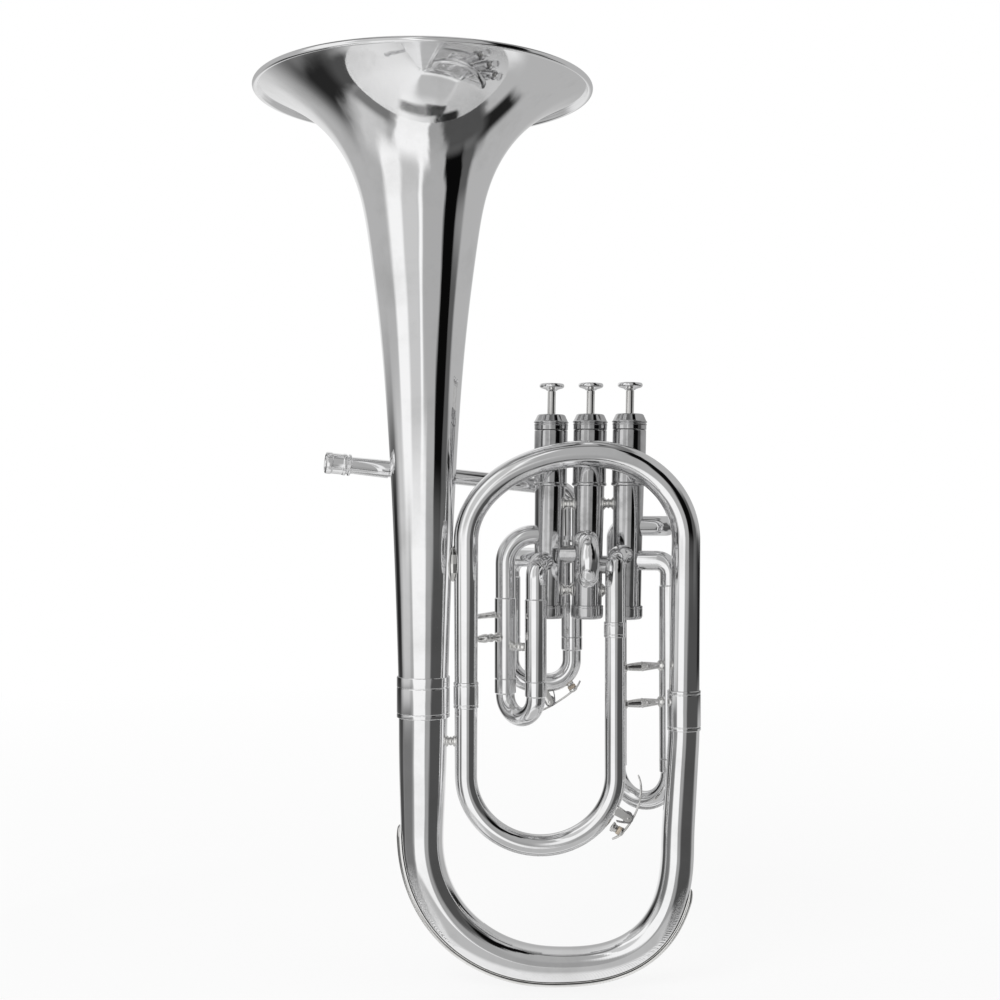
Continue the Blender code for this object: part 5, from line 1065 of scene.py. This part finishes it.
studio = dict(
    floorSize=6.0, floorDepth=0.0003, whiteShare=0.8, whiteFrom=(0.35, 1.6), paper=(0.9, 0.9, 0.9, 1),
    worldLight=0.85, keyPower=9.0, keySize=1.2, keyPlace=(-0.9, -1.4, 1.9), keyAim=(0.0, 0.0, 0.25),
    # the horn's reach from left to right, and how far from the middle its legs stop mattering to the panels
    hornSpan=(-0.033, 0.122), nearHorn=(0.12, 0.33), waver=4.0, waverSize=7.0,
    # (radius, height): a tent of card round the horn and a mat on the floor inside it
    tentRadius=0.38,
    tent=((0.38, 0.0), (0.38, 0.17), (0.38, 0.6), (0.38, 0.98), (0.2, 1.06), (0.001, 1.08)),
    mat=((0.002, 0.001), (0.2, 0.001), (0.379, 0.001)),
    # thin strips of card standing in rings on the mat: first and last radius, spacing, foot and height
    strips=(0.03, 0.377, 0.002, 0.0011, 0.0008),
    # Panels, each over the ones before it: angle of its middle from the camera's side to the right, half its
    # width and the softness of its side edges in degrees, its foot, head and their softness in metres, its
    # grey. Heights go on below zero along the mat, to -0.38 at the horn's foot.
    tentGrey=0.46,
    tentPanels=(
        ("leftGrey", -76, 26, 8, -1, 0.13, 0.05, 0.19),
        ("leftLight", -74, 16, 6, 0.13, 0.34, 0.04, 0.6),
        ("backLight", 180, 34, 14, -1, 0.09, 0.05, 0.85),
        ("backHigh", -165, 26, 12, 0.3, 0.9, 0.08, 0.8),
        ("leftDim", -128, 26, 9, 0.08, 0.36, 0.06, 0.17),
        ("leftFlag", -120, 17, 7, -1, 0.2, 0.08, 0.075),
        ("leftBlack", -119, 13, 5, 0.13, 0.31, 0.05, 0.02),
        ("rightGrey", 90, 9, 5, -1, 0.3, 0.06, 0.22),
        ("rightBlack", 106, 20, 7, 0.14, 0.27, 0.03, 0.015),
        ("rightDim", 74, 12, 6, 0.24, 0.44, 0.05, 0.1),
        ("midFlag", 60, 34, 8, -1, 0.26, 0.06, 0.08),
        ("upperStep", 24, 14, 7, 0.2, 0.75, 0.07, 0.42),
        ("lowerStep", 18, 12, 7, -1, 0.22, 0.07, 0.36),
        ("window", -18, 26, 4, -0.2, 0.33, 0.04, 0.97),
        ("highWindow", -54, 17, 5, 0.25, 0.8, 0.05, 0.97),
        ("highShade", -26, 14, 6, 0.28, 0.8, 0.05, 0.6),
        ("slit", -8, 4, 3, 0.25, 0.8, 0.05, 1.0),
        ("highGrey", 10, 12, 7, 0.3, 0.8, 0.05, 0.42),
        ("blackFlag", 51, 14, 3, 0.24, 0.9, 0.05, 0.003),
        ("nearFront", -5, 42, 10, -1, -0.2, 0.03, 0.5),
        ("ceiling", 0, 181, 1, 0.9, 3, 0.1, 0.16),
    ),
    matGrey=0.62,
    matPanels=(
        ("left", -80, 68, 20, -1, 1, 0.1, 0.88),
        ("back", 170, 26, 16, -1, 1, 0.1, 0.26),
        ("middle", 2, 16, 9, -1, -0.18, 0.05, 0.5),
        ("dusk", -18, 24, 8, -0.13, -0.05, 0.02, 0.12),
        ("black", 37, 19, 4, -0.07, 1, 0.015, 0.003),
        ("nearBlack", 16, 15, 4, -0.145, -0.055, 0.012, 0.003),
        ("foot", 0, 181, 1, -1, -0.355, 0.008, 0.85),
    ),
)


def stageMesh(name, points, quads, material):
    mesh = bpy.data.meshes.new(name)
    mesh.from_pydata(points.tolist(), [], quads.tolist())
    mesh.materials.append(material)
    mesh.shade_smooth()
    thing = bpy.data.objects.new(name, mesh)
    bpy.context.scene.collection.objects.link(thing)
    return thing


def mixShaders(nodes, links, share, first, second):
    mix = nodes.new("ShaderNodeMixShader")
    for source, socket in zip((share, first, second), mix.inputs):
        links.new(source, socket)
    return mix.outputs[0]


def whiteForRays(nodes, links):
    # 1 for a ray from the camera, off metal or through glass
    path = nodes.new("ShaderNodeLightPath").outputs
    either = mathNode(nodes, links, "MAXIMUM", path["Is Camera Ray"], path["Is Glossy Ray"])
    return mathNode(nodes, links, "MAXIMUM", either, path["Is Transmission Ray"])


def floorMaterial():
    # pale paper, most of it shown plain white so that a little of the shadow stays, and all of it far away
    material, nodes, links, shader, place = newMaterial("paperFloor")
    shader.inputs["Base Color"].default_value = studio["paper"]
    shader.inputs["Roughness"].default_value = 0.9
    reach = nodes.new("ShaderNodeVectorMath")
    reach.operation = "LENGTH"
    links.new(place, reach.inputs[0])
    plain = mapped(nodes, links, reach.outputs["Value"], *studio["whiteFrom"], studio["whiteShare"], 1.0)
    share = mathNode(nodes, links, "MULTIPLY", whiteForRays(nodes, links), plain)
    glow = nodes.new("ShaderNodeEmission").outputs[0]
    surface = mixShaders(nodes, links, share, shader.outputs[0], glow)
    links.new(surface, nodes["Material Output"].inputs["Surface"])
    return material


def cardMaterial(name, grey, panels, oneSided):
    # Panels' greys by angle round the horn and by height, their edges a little wavy. Near the horn the angle
    # and the distance count from its nearest leg, and at the wall from the middle of the tent.
    material, nodes, links, shader, place = newMaterial(name)
    nodes.remove(shader)

    def calc(operation, *values):
        return mathNode(nodes, links, operation, *values)

    def softStep(value, edge, soft, toMin, toMax):
        return mapped(nodes, links, value, edge - soft, edge + soft, toMin, toMax, True)

    split = nodes.new("ShaderNodeSeparateXYZ")
    links.new(place, split.inputs[0])
    x, y, z = (split.outputs[axis] for axis in "XYZ")
    ySquare = calc("MULTIPLY", y, y)
    reach = calc("SQRT", calc("ADD", calc("MULTIPLY", x, x), ySquare))
    left, right = studio["hornSpan"]
    nearest = calc("MINIMUM", calc("MAXIMUM", x, left), right)
    atHorn = mapped(nodes, links, reach, *studio["nearHorn"], 1.0, 0.0, True)
    across = calc("SUBTRACT", x, calc("MULTIPLY", nearest, atHorn))
    fromHorn = calc("SQRT", calc("ADD", calc("MULTIPLY", across, across), ySquare))
    turn = calc("ARCTAN2", across, calc("MULTIPLY", y, -1.0))
    folds = noise(nodes, links, place, studio["waverSize"], 3.0)
    waver = mapped(nodes, links, folds, 0.3, 0.7, -studio["waver"], studio["waver"])
    angle = calc("ADD", calc("MULTIPLY", turn, 180 / np.pi), waver)
    level = calc("ADD", z, calc("SUBTRACT", fromHorn, studio["tentRadius"]))
    shade = mapped(nodes, links, z, 0.0, 1.0, grey, grey)
    for _, middle, half, soft, foot, head, fade, panelGrey in panels:
        fromMiddle = calc("PINGPONG", calc("SUBTRACT", angle, float(middle)), 180.0)
        inside = softStep(fromMiddle, half, soft, 1.0, 0.0)
        above, below = softStep(level, foot, fade, 0.0, 1.0), softStep(level, head, fade, 1.0, 0.0)
        mix = nodes.new("ShaderNodeMix")
        links.new(calc("MULTIPLY", inside, calc("MULTIPLY", above, below)), mix.inputs["Factor"])
        links.new(shade, mix.inputs["A"])
        mix.inputs["B"].default_value = panelGrey
        shade = mix.outputs["Result"]
    glow = nodes.new("ShaderNodeEmission")
    links.new(shade, glow.inputs["Color"])
    surface = glow.outputs[0]
    if oneSided:
        behind = nodes.new("ShaderNodeNewGeometry").outputs["Backfacing"]
        surface = mixShaders(nodes, links, behind, surface, nodes.new("ShaderNodeBsdfTransparent").outputs[0])
    links.new(surface, nodes["Material Output"].inputs["Surface"])
    return material


def turnedCard(name, profile, painted, inStrips=False):
    # a profile turned round the horn, its faces upwards and towards the axis; only metal shows it
    angle = np.linspace(0, 2 * np.pi, 96, endpoint=False)
    radius, height = profile[:, :1], profile[:, 1:]
    points = np.stack((radius * np.cos(angle), radius * np.sin(angle), height + 0 * angle), axis=-1)
    points = points.reshape(-1, 3)
    quads = gridFaces(len(profile), len(angle), False)
    if inStrips:
        # the bands between one strip and the next stay open
        quads = quads.reshape(-1, len(angle), 4)[::2].reshape(-1, 4)
    material = cardMaterial(name, studio[painted + "Grey"], studio[painted + "Panels"], not inStrips)
    card = stageMesh(name, points, quads, material)
    a, b, c = (points[quads[0, k]] for k in range(3))
    if not inStrips and np.cross(b - a, c - a) @ np.array([-1.0, 0.0, 1.0]) < 0:
        card.data.flip_normals()
    card.visible_camera = False
    card.visible_diffuse = False
    card.visible_shadow = False


def makeCards():
    for name in ("tent", "mat"):
        turnedCard(name, softCorners(studio[name], 0.02, 6), name)
    first, last, spacing, foot, height = studio["strips"]
    radius = np.arange(first, last, spacing)
    edges = [np.stack((radius, 0 * radius + level), axis=1) for level in (foot, foot + height)]
    turnedCard("strips", np.stack(edges, axis=1).reshape(-1, 2), "tent", True)


def makeStudio():
    half = studio["floorSize"]
    corners = [(-half, -half), (half, -half), (half, half), (-half, half)]
    corners = np.array([(*corner, -studio["floorDepth"]) for corner in corners])
    stageMesh("floor", corners, np.array([[0, 1, 2, 3]]), floorMaterial())
    makeCards()
    world = bpy.data.worlds.new("studio")
    bpy.context.scene.world = world
    world.use_nodes = True
    nodes, links = world.node_tree.nodes, world.node_tree.links
    light, white = nodes["Background"], nodes.new("ShaderNodeBackground")
    light.inputs["Strength"].default_value = studio["worldLight"]
    for background in (light, white):
        background.inputs["Color"].default_value = (1, 1, 1, 1)
    surface = mixShaders(nodes, links, whiteForRays(nodes, links), light.outputs[0], white.outputs[0])
    links.new(surface, nodes["World Output"].inputs["Surface"])
    lamp = bpy.data.lights.new("softKey", "AREA")
    lamp.energy = studio["keyPower"]
    lamp.shape = "DISK"
    lamp.size = studio["keySize"]
    key = bpy.data.objects.new("softKey", lamp)
    bpy.context.scene.collection.objects.link(key)
    key.location = studio["keyPlace"]
    key.rotation_euler = (Vector(studio["keyAim"]) - key.location).to_track_quat("-Z", "Y").to_euler()


camera = dict(place=(0.0136, -0.9, 0.285), lens=54.0, sensor=36.0, shiftY=0.012)


def makeCamera():
    data = bpy.data.cameras.new("camera")
    data.lens = camera["lens"]
    data.sensor_width = camera["sensor"]
    data.sensor_fit = "HORIZONTAL"
    data.shift_y = camera["shiftY"]
    data.clip_start = 0.01
    eye = bpy.data.objects.new("camera", data)
    bpy.context.scene.collection.objects.link(eye)
    eye.location = camera["place"]
    eye.rotation_euler = (np.pi / 2, 0, 0)
    bpy.context.scene.camera = eye


makeStudio()
makeCamera()
bpy.context.scene.view_settings.view_transform = "Standard"
print("scene: studio and camera made")
